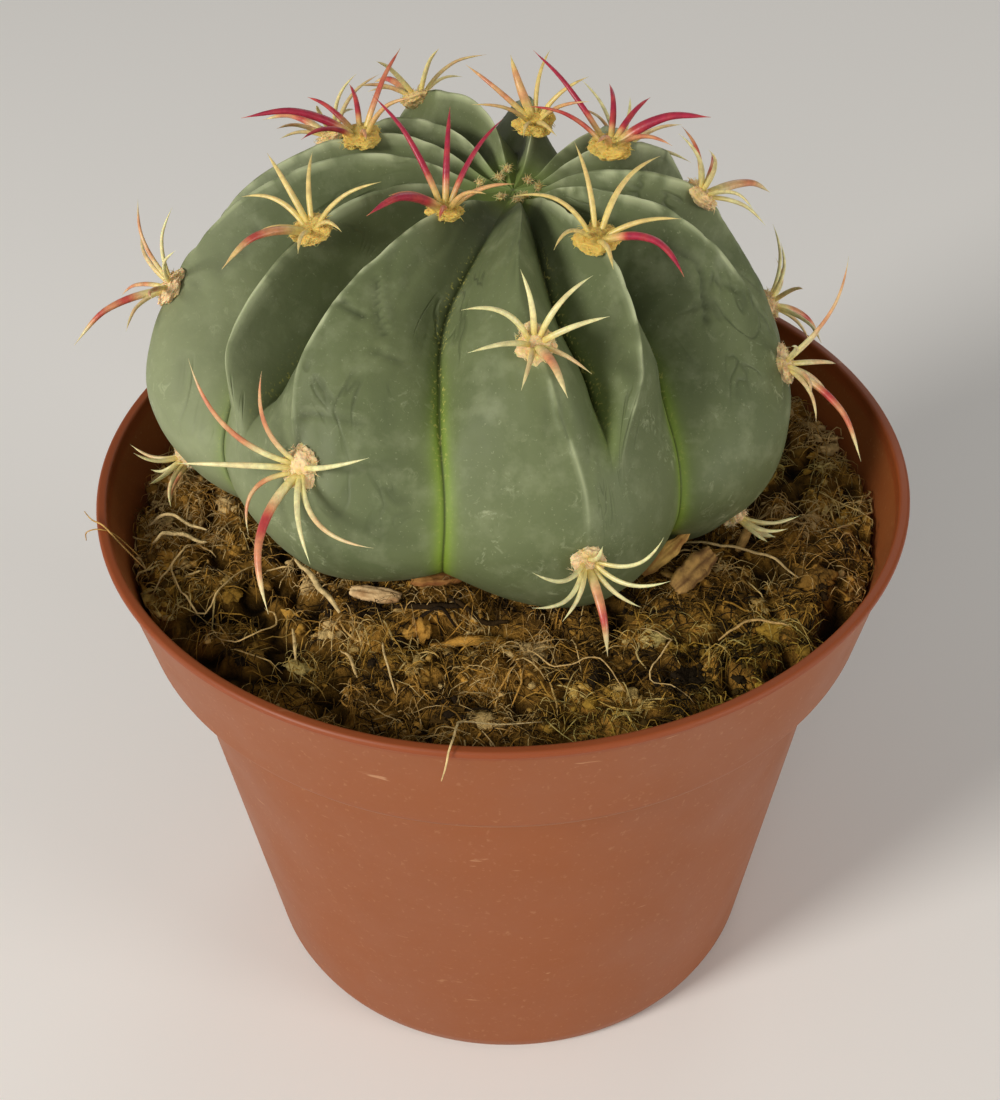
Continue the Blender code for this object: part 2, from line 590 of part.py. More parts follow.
def make_soil(home, finish):
    """Peat that fills the pot, with a socket shaped to the plant's underside and its root."""
    columns = COLUMNS_PER_RIB * len(RIBS)
    turns = [k / COLUMNS_PER_RIB for k in range(columns)]
    lips = [lip_reach(turn) for turn in turns]
    rings = [[stem_point(turn, lip + (ROOT_END - lip) * share, SOCKET_GAP)
              for turn, lip in zip(turns, lips)] for share in SOCKET_RINGS]
    lip = rings[-1]
    middle = Vector((MIDDLE[-1][1] * MM, MIDDLE[-1][2] * MM, 0.0))
    edge = wall_radius(SOIL_LEVEL - SOIL_EDGE_DROP - SOIL_LUMP) - CLEARANCE
    wall = []
    for point in lip:
        aim = (Vector((point.x, point.y, 0.0)) - middle).normalized()
        along = middle.dot(aim)
        reach = math.sqrt(along ** 2 - middle.length_squared + edge ** 2) - along
        wall.append(middle + aim * reach)
    for step in range(1, SOIL_RINGS + 1):
        share = step / SOIL_RINGS
        ring = []
        for start, stop in zip(lip, wall):
            x = start.x + (stop.x - start.x) * share
            y = start.y + (stop.y - start.y) * share
            drop = SOIL_EDGE_DROP * smoothstep(edge - SOIL_EDGE_WIDTH, edge, math.hypot(x, y))
            ring.append(Vector((x, y, soil_height(x, y) - drop)))
        rings.append(ring)
    collar_foot = POT_HEIGHT - COLLAR_DEPTH
    for height in (collar_foot + 1.4 * MM, collar_foot - 2.4 * MM, BASE_EDGE + 1.6 * MM):
        radius = wall_radius(height) - CLEARANCE
        if height > collar_foot:
            radius -= 0.4 * MM
        rings.append([Vector((p.x, p.y, 0)).normalized() * radius + Vector((0, 0, height))
                      for p in wall])
    root = stem_point(0.5, ROOT_END)
    bottom = Vector((root.x, root.y, root.z - SOCKET_GAP))
    bm = loft(rings, bottom, Vector((0, 0, SOIL_FLOOR)))
    soil = mesh_object("soil", bm, home, finish, SOIL_CREASE)
    draw = random.Random(FIBRE_SEED)
    fibres = collection("soil_fibres")
    made = 0
    while made < FIBRES:
        angle = draw.uniform(0, 2 * math.pi)
        radius = draw.uniform(*FIBRE_PLACES)
        spot = Vector((radius * math.sin(angle), radius * math.cos(angle), 0.0))
        if not open_soil(spot):
            continue
        helper(fibre(f"fibre_{made}", spot, draw, fibres))
        made += 1
    apply_boolean(soil, "UNION", fibres)
    return soil


def open_soil(spot):
    """Whether a fibre fits here, clear of the plant, the pot and the bark."""
    half = FIBRE_LENGTH[1] / 2
    if spot.length > wall_radius(SOIL_LEVEL) - SOIL_EDGE_WIDTH - half * 0.5:
        return False
    from_plant = Vector((spot.x - MIDDLE[-1][1] * MM, spot.y - MIDDLE[-1][2] * MM, 0.0)).length
    if from_plant < SOIL_CLEAR_OF_PLANT + half * 0.5:
        return False
    return all(math.hypot(spot.x - chip[1][0] * MM, spot.y - chip[1][1] * MM) > CHIP_SEAT + half
               for chip in CHIPS)


def fibre(name, spot, draw, home):
    """A bent strand that lies half in the soil, with both ends sunk in it."""
    heading = draw.uniform(0, 2 * math.pi)
    bend = draw.uniform(-FIBRE_BEND, FIBRE_BEND)
    length = draw.uniform(*FIBRE_LENGTH)
    points = []
    for share in (-0.5, -0.25, 0.0, 0.25, 0.5):
        turn = heading + bend * share
        x = spot.x + math.cos(turn) * length * share
        y = spot.y + math.sin(turn) * length * share
        arch = FIBRE_ARCH - FIBRE_DIVE * share ** 2
        points.append(Vector((x, y, soil_height(x, y) + arch)))
    return tube(name, points, [FIBRE_RADIUS] * len(points), FIBRE_SIDES, home)


def make_chip(name, spot, size, seat, turn, lean, home, finish):
    """A flake of bark: a slab with uneven corners on a flat patch of the soil."""
    draw = random.Random(name)
    bm = bmesh.new()
    bmesh.ops.create_cube(bm, size=1.0)
    long_edges = [e for e in bm.edges if abs((e.verts[0].co - e.verts[1].co).x) > 0.5]
    bmesh.ops.subdivide_edges(bm, edges=long_edges, cuts=3)
    for vert in bm.verts:
        taper = 1 - CHIP_TAPER * (vert.co.x * 2) ** 2
        vert.co.y *= taper * draw.uniform(0.75, 1.1)
        vert.co.x *= draw.uniform(0.9, 1.05)
        if vert.co.z > 0:
            vert.co.z *= draw.uniform(0.6, 1.2)
    bm.transform(Matrix.Diagonal((size[0] * MM, size[1] * MM, size[2] * MM, 1.0)))
    lean = math.radians(lean)
    bm.transform(Matrix.Rotation(math.radians(turn), 4, "Z") @ Matrix.Rotation(lean, 4, "X"))
    half = (size[1] * math.sin(lean) + size[2] * math.cos(lean)) / 2 * MM
    lift = SOIL_LEVEL + seat * MM + half + CLEARANCE
    bm.transform(Matrix.Translation((spot[0] * MM, spot[1] * MM, lift)))
    return mesh_object(name, bm, home, finish, CHIP_CREASE)


def main():
    clear_scene()
    home = collection("potted_horse_crippler_cactus")
    make_pot(home, material("pot_plastic", TERRACOTTA, 0.45))
    make_soil(home, material("soil_peat", PEAT, 0.9))
    stem = make_stem(home, material("stem_green", GREEN, 0.5))
    finishes = {"cream": material("spine_cream", CREAM, 0.55),
                "crimson": material("spine_crimson", CRIMSON, 0.5)}
    notches = collection("notches")
    draw = random.Random(SPINE_SEED)
    for rib, reach, size, colour in CLUSTERS:
        name = f"{rib}_{int(reach)}"
        make_cluster(name, rib, reach, size, colour, home, finishes[colour], draw)
        notch("notch_" + name, rib, reach, size, notches)
    apply_boolean(stem, "DIFFERENCE", notches)
    bark = material("bark", BARK, 0.8)
    for name, spot, size, seat, turn, lean in CHIPS:
        make_chip(name, spot, size, seat, turn, lean, home, bark)


main()
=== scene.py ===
"""Looks of the potted horse crippler cactus: pot, peat with its fibres, ribbed stem, wool and spines.

Metres, +Z up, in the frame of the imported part. An azimuth is in degrees round the plant: 0 at the
front (-Y), 90 at the right (+X). A reach is the distance along a rib's crest from the growing tip, in
mm, and a turn counts the ribs round the plant: 2.0 is the groove left of rib 2, 2.5 is its crest.
"""

import functools
import math
import random

import bmesh
import bpy
import numpy as np
from bpy.props import FloatProperty, FloatVectorProperty, IntProperty, PointerProperty
from bpy.types import Operator, Panel, PropertyGroup
from mathutils import Matrix, Vector, noise


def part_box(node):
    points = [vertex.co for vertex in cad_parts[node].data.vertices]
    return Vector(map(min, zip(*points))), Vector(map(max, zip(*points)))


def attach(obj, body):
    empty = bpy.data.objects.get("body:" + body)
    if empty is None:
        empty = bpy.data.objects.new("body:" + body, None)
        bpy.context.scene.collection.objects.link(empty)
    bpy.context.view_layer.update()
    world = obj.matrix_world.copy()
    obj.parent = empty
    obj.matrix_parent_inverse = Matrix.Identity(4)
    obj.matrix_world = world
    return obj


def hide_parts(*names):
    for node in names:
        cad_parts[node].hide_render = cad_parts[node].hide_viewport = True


bl_info = {
    "name": "Potted Horse Crippler Cactus",
    "version": (1, 0, 0),
    "blender": (4, 5, 0),
    "location": "3D View > Sidebar > Cactus",
    "description": "Builds the looks of a potted horse crippler cactus round its solid model",
    "category": "Object",
}

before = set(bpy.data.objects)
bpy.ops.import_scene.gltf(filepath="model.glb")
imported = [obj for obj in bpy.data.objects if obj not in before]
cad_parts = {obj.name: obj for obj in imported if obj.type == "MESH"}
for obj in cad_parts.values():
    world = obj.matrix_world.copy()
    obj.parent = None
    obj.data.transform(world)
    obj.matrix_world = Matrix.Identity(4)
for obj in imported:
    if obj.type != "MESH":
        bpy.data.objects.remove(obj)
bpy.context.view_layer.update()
MM = 0.001
POT_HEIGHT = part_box("pot")[1].z
RIM_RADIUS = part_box("pot")[1].x

# Pot
RIM_LIP = 1.5 * MM
RIM_FACE = 0.9 * MM
COLLAR_DEPTH = 17.0 * MM
COLLAR_FOOT_RADIUS = 48.4 * MM
BODY_TOP_RADIUS = 44.6 * MM
BASE_RADIUS = 35.6 * MM
BASE_EDGE = 2.0 * MM
WALL = 1.1 * MM
CHANNEL_RISE = 2.0 * MM
CHANNEL_INNER = 13.0 * MM
CHANNEL_OUTER = 23.0 * MM
CHANNEL_SLOPE = 1.5 * MM
DRAIN_HOLES = 8
DRAIN_HOLE_RADIUS = 2.6 * MM
DRAIN_HOLE_SIDES = 32
CORNER_STEPS = 4

# Soil
SOIL_LEVEL = 71.3 * MM
SOIL_LUMP = 1.5 * MM
SOIL_LUMP_SIZE = 7.0 * MM
FINER_LUMPS = (0.5, 2.3, (5.0, 1.0, 0.0))  # height and fineness against those, and their shift
SOIL_CLODS = ((0.9 * MM, 4.2 * MM), (0.5 * MM, 1.9 * MM), (0.22 * MM, 0.9 * MM))  # (height, size)
CREVICE_DEPTH = 2.4 * MM
CREVICE_SIZE = 6.5 * MM
CREVICE_WIDTH = 0.12  # share of the noise between clods that is open
GAPS_KEPT = 0.42  # share of a crevice's depth from which no fibre starts in it
SOIL_EDGE_DROP = 1.2 * MM
SOIL_EDGE_WIDTH = 5.0 * MM
SOIL_FLOOR = 3.6 * MM
SOIL_COLUMNS_PER_RIB = 36
SOIL_RINGS = 64
SOIL_GRID_STEP = 0.4 * MM
SOIL_GRID_HALF = 52.0 * MM

# Fibres: name, how many share one of the usual count, sides, radius against the usual, shortest and
# longest length and highest rise in mm, tone and seed
FIBRE_LAYERS = (
    ("peat_fibres_dark", 1, 3, 1.1, (2, 7), 1.0, 0.25, 1),
    ("peat_fibres_golden", 1, 3, 0.8, (2, 8), 1.6, 0.5, 2),
    ("peat_fibres_fine", 1, 3, 0.6, (2, 9), 2.2, 0.65, 3),
    ("peat_strands", 7, 5, 1.6, (4, 12), 1.4, 0.64, 4),
)
FIBRE_RINGS = 6
TUFT_SIZE = 4.0 * MM  # over which the fibres keep a direction
TUFT_TURN = 5.0  # how far the tufts turn away from each other, in radians
FIBRE_STRAYS = 0.8  # how far a fibre strays from its tuft, in radians
FIBRE_BEND = 0.45
FIBRE_WAVE = 0.3
FIBRE_TILT = 0.7
FIBRE_THICKNESS = (0.4, 1.0)
FIBRE_THINNER = 0.6  # how much thinner a fibre is at its ends
FIBRE_TUCK = 0.5 * MM  # how far its ends go into the clods
# Crumbs: name, how many share one of the usual count, sizes in mm, flatness, how far they are sunk as a
# share of their size, tone, detail of the mesh and seed
CLOD_LAYERS = (
    ("peat_crumbs", 1, (0.35, 1.0), (0.4, 0.8), 0.0, 0.42, 2, 21),
    ("peat_clods", 8, (1.0, 2.2), (0.25, 0.5), 0.2, 0.5, 3, 22),
)
CLOD_DENTS = ((0.5, 0.7), (0.45, 0.3))  # (depth, size) against the crumb's radius
CLOD_WIDTH = (0.45, 0.9)
CLOD_TILT = 0.5
# Colour of the litter: lumps of tone as (strength, size in mm, seed)
TONE_LUMPS = ((0.75, 6.0, 4.0), (0.45, 2.4, 5.0))
FIBRE_SPREAD = 0.29
CLOD_SPREAD = 0.18
PALEST_LITTER = 0.9  # tone of the palest scattered bits; the listed straws are paler
MOSS = 0.05
MOSS_LUMPS = ((0.8, 12.0, 7.0),)
# Parts of the soil that differ: change of tone and of mossiness, and where each starts and is full,
# over x and over y in mm
LITTER_PATCHES_AND_PAINTED_LIGHT = (
    # a darker, mossier patch at the front right
    (-0.2, 0.5, (-5, 25), (-10, -30)),
    # painted light on the soil in the shadow of the pot's left wall
    (0.28, 0.0, (-22, -42), (-30, -10)),
    # painted light on the soil in the shadow of the stem, at the far right
    (0.34, 0.0, (20, 36), (-12, 4)),
)
# Strands given one by one: radius in mm, tone, whether heights count from the soil, and their (x, y,
# height)
LAID_STRANDS = (
    (0.24, 0.95, True, ((22.7, -10.0, 1.8), (27.0, -12.2, 2.2), (32.5, -13.4, 1.8), (37.2, -16.3, 0.6))),
    (0.3, 1.0, True, ((-46.4, -4.2, 2.6), (-43.5, -4.4, 3.2), (-38.4, -6.6, 2.4))),
    (0.28, 1.0, True, ((-45.0, -9.6, 2.4), (-42.2, -8.6, 3.0), (-38.2, -9.0, 2.2))),
    (0.16, 0.9, True, ((-39.2, -7.9, 1.6), (-41.9, -12.2, 1.8), (-44.6, -16.0, 0.8))),
    (0.4, 1.0, True, ((-26.2, -15.4, 4.4), (-23.4, -19.4, 3.4), (-20.2, -24.2, 1.6))),
    (0.14, 0.9, True, ((-42.0, -9.6, 1.0), (-42.1, -14.2, 1.8), (-39.0, -20.9, 2.2), (-36.8, -21.9, 2.4),
                       (-33.9, -16.3, 2.2), (-30.9, -12.9, 1.0))),
    (0.22, 0.95, True, ((-26.0, -25.3, 1.4), (-25.6, -27.5, 2.0), (-25.3, -30.3, 0.6))),
    (0.2, 0.95, True, ((-14.9, -27.9, 1.2), (-14.4, -32.0, 2.2), (-13.1, -35.8, 0.8))),
    (0.2, 0.9, True, ((-20.0, -28.7, 1.2), (-18.6, -31.0, 1.8), (-17.7, -34.0, 0.6))),
    (0.12, 0.85, True, ((-30.0, -20.0, 0.8), (-28.0, -25.0, 2.4), (-32.0, -28.5, 2.0),
                        (-35.5, -25.5, 0.8))),
    (0.12, 0.85, True, ((2.0, -30.0, 0.8), (6.0, -34.0, 2.4), (11.0, -33.0, 2.2), (14.0, -37.0, 0.8))),
    (0.1, 0.9, True, ((16.0, -26.0, 0.8), (20.0, -30.0, 2.4), (17.0, -35.0, 2.4), (22.0, -39.0, 0.8))),
    # The next three are near-black strands along the front of the stem's foot: painted shadow.
    (0.55, 0.02, True, ((-13.5, -22.6, 0.5), (-9.5, -23.4, 0.9), (-5.0, -22.8, 0.4))),
    (0.4, 0.05, True, ((-7.0, -22.0, 0.8), (-3.5, -23.5, 1.0), (0.5, -23.2, 0.4))),
    (0.3, 0.0, True, ((-11.0, -24.6, 0.8), (-8.0, -23.8, 1.2), (-6.0, -24.9, 0.6))),
    (0.9, 0.62, True, ((-9.2, -26.5, 0.1), (-4.0, -27.0, 0.5), (1.2, -26.6, 0.0))),
    (0.7, 0.75, True, ((30.0, -10.2, 0.4), (31.0, -9.4, 1.8), (31.6, -8.4, 3.2))),
    (0.5, 0.7, True, ((19.6, -16.6, 0.8), (22.0, -18.0, 1.2), (25.0, -17.6, 0.6))),
    (0.3, 0.5, True, ((26.0, -12.0, 0.6), (28.3, -10.5, 1.4), (29.0, -8.4, 0.8))),
    (0.2, 0.8, True, ((26.0, -27.0, 1.0), (30.0, -25.0, 1.8), (35.0, -26.0, 0.8))),
    (0.2, 0.9, True, ((30.0, 30.0, 1.0), (26.0, 34.0, 2.0), (20.0, 38.0, 0.8))),
    (0.2, 0.9, True, ((-34.0, 24.0, 1.0), (-37.0, 20.0, 2.0), (-38.0, 14.0, 0.8))),
    (0.14, 1.0, False, ((4.2, -42.3, 73.0), (-0.8, -43.6, 74.0), (-5.0, -44.2, 75.2), (-5.6, -47.6, 77.8),
                        (-5.9, -50.4, 78.9), (-6.4, -52.3, 78.8), (-6.8, -52.8, 76.8),
                        (-7.4, -51.9, 73.6))),
    (0.11, 0.7, False, ((-46.6, -11.2, 72.8), (-48.9, -12.0, 77.0), (-50.6, -13.0, 78.9),
                        (-52.2, -13.2, 78.6), (-52.6, -12.6, 76.8))),
    (0.13, 0.75, False, ((-45.6, -13.6, 72.8), (-48.2, -13.4, 76.8), (-50.2, -12.2, 78.8),
                         (-51.8, -11.2, 79.0), (-52.8, -10.2, 79.6))),
)
LAID_RINGS = 24
LAID_SIDES = 5
LAID_THINNER = 0.55
LAID_FLATNESS = 0.7
SOCKET_GAP = 1.05 * MM  # between the root and the soil
SOCKET_RINGS = (0.94, 0.8, 0.62, 0.44, 0.28, 0.13)  # shares of the way down the root
LIP_SEARCH = (60.0, 100.0)  # reaches between which the skin meets the soil
LIP_STEPS = 161
TUCK = 0.5 * MM  # how far the soil's inner edge goes under the plant's skin
CLEARANCE = 0.35 * MM  # from the pot's wall
OUTLINE_STEPS = 12  # points per rib of the plant's outline on the soil

# Stem: crest outline as (radius, height above the soil) in mm, from the growing tip to the root
CREST_OUTLINE = (
    (0.0, 36.8), (4.0, 37.8), (9.0, 40.8), (15.0, 42.6), (22.0, 41.8), (30.0, 37.3),
    (37.0, 29.5), (41.5, 21.0), (43.2, 13.5), (42.2, 7.5), (39.0, 3.0), (34.0, -0.3),
    (27.0, -2.8), (19.0, -4.8), (12.0, -7.2), (7.5, -11.5), (4.5, -18.0), (0.0, -22.0),
)
# The stem leans: (reach, x, y) of its middle in mm
STEM_MIDDLE = (
    (0, 2.0, 18.4), (8, 0.9, 16.9), (16, -0.7, 15.0), (26, -2.4, 12.9), (36, -3.9, 11.3),
    (46, -4.8, 10.4), (56, -4.5, 10.4), (66, -3.4, 11.2), (76, -2.6, 12.3), (100, -2.2, 12.6),
    (130, -2.2, 12.6),
)
# Where the low stem draws in: azimuth, share of the radius, power of the cosine, reaches
DRAWN_IN = ((180, 0.085, 1, (25, 55)), (288, 0.19, 4, (50, 74)),
            (340, 0.11, 8, (56, 76)), (50, 0.08, 10, (56, 76)))
ROOT_REACH = 92.0  # below it the mesh is coarser
AZIMUTH_REACHES = (10, 26, 38, 49, 62, 78)
# Each rib: name, azimuths of its left groove and of its crest at those reaches, groove depth against
# the usual, extra depth at the soil and how far the crest stands above the outline, in mm
RIBS = (
    ("left_front", (-44, -48, -48, -42.5, -41, -44), (-25, -34, -34.5, -27, -27, -38), 1.25, 0.0, 0.0),
    ("front", (-8, -11, -6, -3, -5, -11), (15, 11, 17, 20.5, 18.5, 23), 0.7, 6.0, 0.0),
    ("front_right", (21, 26, 30, 26.5, 26, 30), (33, 40, 37, 28.5, 30, 34), 0.8, 0.0, 0.0),
    ("right", (44, 58, 57, 47.5, 41, 42), (55, 72, 77, 79, 65, 50), 1.2, 0.5, 0.0),
    ("right_back", (65, 84, 93, 92, 87, 87), (78, 93, 101, 103, 103, 105), 1.0, 2.0, -0.6),
    ("back_right_short", (91, 104, 112, 114, 113, 113), (102, 113, 121, 117, 117, 117), 1.0, 0.0, -0.5),
    ("back_right", (112, 122, 129, 131, 131, 131), (122, 132, 140, 146, 148, 150), 1.0, 2.0, -1.2),
    ("back_short", (138, 148, 155, 161, 161, 161), (154, 165, 170, 165, 165, 165), 1.0, 0.0, -0.3),
    ("back_left", (168, 180, 184, 179, 176, 176), (182, 194, 197, 198, 198, 198), 1.0, 2.0, 0.3),
    ("left_back", (195, 207, 211, 218, 221, 221), (208, 219, 224, 233, 236, 238), 1.0, 2.0, -1.4),
    ("left_back_short", (221, 232, 239, 247, 247, 247), (233, 244, 250, 251, 251, 251), 1.0, 0.0, -0.8),
    ("left", (246, 254, 260, 265, 266, 266), (260, 264, 270, 282, 292, 290), 1.0, 2.0, 0.0),
    ("left_short", (274, 283, 293, 306, 312, 309), (295, 301, 306, 315, 316, 313), 1.0, 2.0, 0.0),
)
# The broad ribs of the foot: the rib whose left groove each keeps, and the rib whose crest it keeps
BROAD_RIBS = (
    ("left_short", "left_front"), ("front", "front"), ("right", "right"),
    ("right_back", "right_back"), ("back_right", "back_right"), ("back_left", "back_left"),
    ("left_back", "left_back"), ("left", "left"),
)
SHORT_RIBS_FADE = (39, 49)
# Depth in mm of the usual groove, by reach
GROOVE_DEPTH = ((0, 0.3), (5, 1.6), (10, 4.6), (17, 8.2), (24, 10.6), (31, 11.2), (38, 9.6),
                (45, 6.8), (52, 4.6), (60, 3.7), (68, 3.2), (84, 2.6), (94, 1.2), (104, 0.0))
FOOT_DEEPENS = (56, 76)
FOOT_ENDS = (84, 102)
CREST_STANDS = (6, 20)
# How far the flanks bulge from straight, by reach
FLANK_BULGE = ((0, 0.0), (10, -0.3), (24, -0.35), (32, 0.0), (42, 0.6), (50, 0.85), (62, 0.9))
# Flanks that are rounder than usual: rib, side (0 left, 1 right), extra bulge and its reaches
ROUND_FLANKS = (("front", 0, 0.75, (4, 12), (38, 50)), ("front", 1, 0.75, (4, 12), (38, 50)),
                ("left_front", 1, 0.7, (14, 26), (42, 54)), ("right", 0, 0.3, (26, 36), (42, 54)))
FLAT_TOPPED = "front"  # its crest only stands up from its areole downward
FLAT_TOP_ENDS = (33, 37)
CREST_ROUNDING = 0.12  # mm
HALF_RIB_COLUMNS = 13
WIDE_RIB_COLUMNS = {"left_front": 28, "front": 22, "front_right": 16, "right": 28}
CREST_CROWDING = 0.7  # how far the columns crowd towards grooves and crests
STEM_RINGS = 184
ROOT_RINGS = 14

# Creases of the skin: depth in mm and the (turn, reach) of their points
CREASES = (
    (0.5, ((0.52, 29.6), (0.58, 29.9), (0.64, 29.9))),
    (0.4, ((0.58, 25.7), (0.64, 27.5), (0.70, 29.6), (0.76, 31.1))),
    (0.25, ((0.74, 33.2), (0.84, 33.5))),
    (0.3, ((0.52, 42.2), (0.62, 41.3), (0.74, 41.3))),
    (0.5, ((3.38, 27.8), (3.38, 33.8), (3.30, 37.1), (3.24, 40.1))),
    (0.3, ((3.38, 36.2), (3.44, 40.4))),
    (0.3, ((12.8, 22.0), (12.84, 27.0), (12.8, 32.0))),
    (0.35, ((11.6, 30.0), (11.68, 35.0), (11.62, 40.0))),
    (0.3, ((8.4, 24.0), (8.36, 30.0), (8.42, 37.0))),
    (0.3, ((6.7, 26.0), (6.66, 33.0))),
)
CREASE_WIDTH = 0.36  # mm
CREASE_DEPTH = 1.5  # the share of the depths above that is cut
CREASE_LIP = 0.25  # height of the soft lips beside a crease, as a share of its depth
LIP_WIDTH = 3.0  # times the crease's width
WRINKLE_DEPTH = 0.3  # mm
WRINKLE_SIZE = (2.6, 12.0)  # mm across and along the rib
WRINKLE_WIDTH = 0.14  # share of the noise between wrinkles that is cut
WRINKLE_REACHES = ((8, 18), (38, 54))
WRINKLE_START = (0.8, 2.5)  # mm from a groove
# Soft unevenness of the skin: lumps as (share, size in mm, seed)
UNEVENNESS = ((1.0, 11.0, 0.0), (0.35, 3.6, 2.0))
UNEVEN_REACHES = ((4, 20), (80, 90))
UNEVEN_START = (0.0, 3.0)  # mm from a groove
# Swellings of a crest by each areole: height and how far below the areole in mm, spread across and along
SWELLINGS = ((0.3, 3.6, 3.5, 7.0), (0.2, -3.4, 3.5, 6.0), (-0.1, 0.0, 2.0, 4.0))
ACROSS_TURN = 10.83  # mm across a turn near an areole
RIDGE_HEIGHT = 0.4  # mm that the upper crests stand up as a thin ridge
RIDGE_WIDTH = 0.55
RIDGE_REACHES = ((6, 14), (36, 50))

# Half the width in mm of the dark line of painted shade in a groove, by reach
GROOVE_CORE = ((0, 0.42), (30, 0.42), (46, 0.26), (90, 0.22))
CORE_STRENGTH = 0.9
CORE_START = (6, 14)
FAINT_GLOW = 0.12  # beside the dark line of every groove
FAINT_GLOW_WIDTH = 0.9
FAINT_GLOW_START = (24, 44)
# Brighter lines in the grooves: rib on their right, strength, and the reaches they run between
GROOVE_LINES = {"front": (1.0, (24, 46), (82, 88)), "right": (0.85, (32, 48), (80, 86)),
                "left_short": (0.35, (40, 52), (70, 80)), "front_right": (0.3, (18, 26), (44, 50))}
LINE_BANDS = ((0.8, 1.25), (0.15, 2.8))  # strength and half width in mm of the line and of its halo
# Specked edges beside the dark lines
EDGE_PLACE = 0.5  # mm from the groove
EDGE_WIDTH = 0.4
EDGE_START = (12, 20)
EDGE_FADES = (0.8, (36, 50))  # how much, and over which reaches
# Pale lines on the crests, which break up here and there: partly wear, partly a painted highlight on the
# sharp crest edges
CREST_LINE_WIDTH = 0.28
CREST_LINE_START = (3, 9)
CREST_LINE_ENDS = {"front": (46, 60), "front_right": (44, 52)}
USUAL_LINE_ENDS = (34, 50)
CREST_LINE_FADES = (0.45, (30, 44))
BREAK_LUMPS = ((1.0, 4.0, 9.0), (0.6, 1.3, 10.0))
BREAK_EDGES = (-0.5, 0.25)  # values of those lumps from break to whole line
IN_A_BREAK = 0.12  # strength of the line where it breaks up
# Where the skin's marks lie, by reach: painted light on the left side, also by mm to the left; painted
# shade in the fine fold lines; scars and a little painted light on the low skin; the greener tip
PAINTED_LIGHT_SIDE = (14, 40)
PAINTED_LIGHT_REACHES = (22, 42)
FOLDED_REACHES = ((8, 16), (44, 58))
LOW_SKIN = (22, 58)
TIP_ENDS = (3, 9)
ACROSS_RIB = 20.0  # mm across a rib on the unrolled skin

# Spine clusters: rib, reach, size of the woolly pad (across, along the rib) in mm, colour
CLUSTERS = (
    ("left_front", 14.5, (4.6, 4.2), "crimson"),
    ("left_front", 47.7, (4.2, 5.2), "cream"),
    ("front", 32.8, (4.4, 4.6), "cream"),
    ("front", 58.4, (4.0, 3.8), "cream"),
    ("front_right", 22.6, (5.6, 4.8), "cream"),
    ("right", 52.4, (4.2, 5.2), "cream"),
    ("right", 69.0, (3.2, 3.2), "cream"),
    ("right_back", 32.4, (5.0, 4.4), "cream"),
    ("right_back", 56.0, (4.2, 4.2), "cream"),
    ("back_right_short", 17.0, (6.0, 5.0), "crimson"),
    ("back_right", 38.0, (4.6, 4.8), "cream"),
    ("back_right", 61.0, (3.8, 3.8), "cream"),
    ("back_short", 13.2, (5.0, 4.4), "cream"),
    ("back_left", 30.0, (4.8, 4.6), "cream"),
    ("back_left", 54.0, (4.2, 4.4), "cream"),
    ("left_back", 31.5, (4.8, 4.6), "cream"),
    ("left_back", 60.0, (3.8, 3.8), "cream"),
    ("left_back_short", 20.0, (6.4, 5.0), "crimson"),
    ("left", 42.6, (4.4, 4.8), "cream"),
    ("left", 62.0, (3.4, 3.4), "cream"),
    ("left_short", 24.7, (5.4, 5.0), "cream"),
)
PAD_THICKNESS = 2.0 * MM
PAD_LIFT = 0.1 * MM
SPINE_LIFT = 0.45 * MM
PAD_CORNERS = 12  # random lumps that the solid pad draws before its spines
PAD_LUMPS = (0.9, 1.04)
SPINE_RADIUS = 0.38 * MM
CENTRAL_RADIUS = 0.68 * MM
CRIMSON_THICKER = 1.15
SPINE_TAPER = ((0.0, 0.95), (0.25, 1.0), (0.55, 0.8), (0.82, 0.48), (1.0, 0.04))
SPINE_BOW = 0.11
SPINE_SEED = 11
SHAPE_SEED = 17
SPINE_SIDES = 10
SPINE_RINGS = 24
SPINE_FLATNESS = 0.8
SPINE_VARIES = (0.85, 1.05)
RING_SPACING = 0.7  # mm between the faint rings of a spine
CENTRAL_HOOK = 0.05  # how far the tip turns down, as a share of the length
USUAL_HOOKS = (0.0, 0.04)
HOOK_START = 0.55
ROOT_SPREAD = 0.3  # how far from the pad's middle the spines come out, as a share of its half
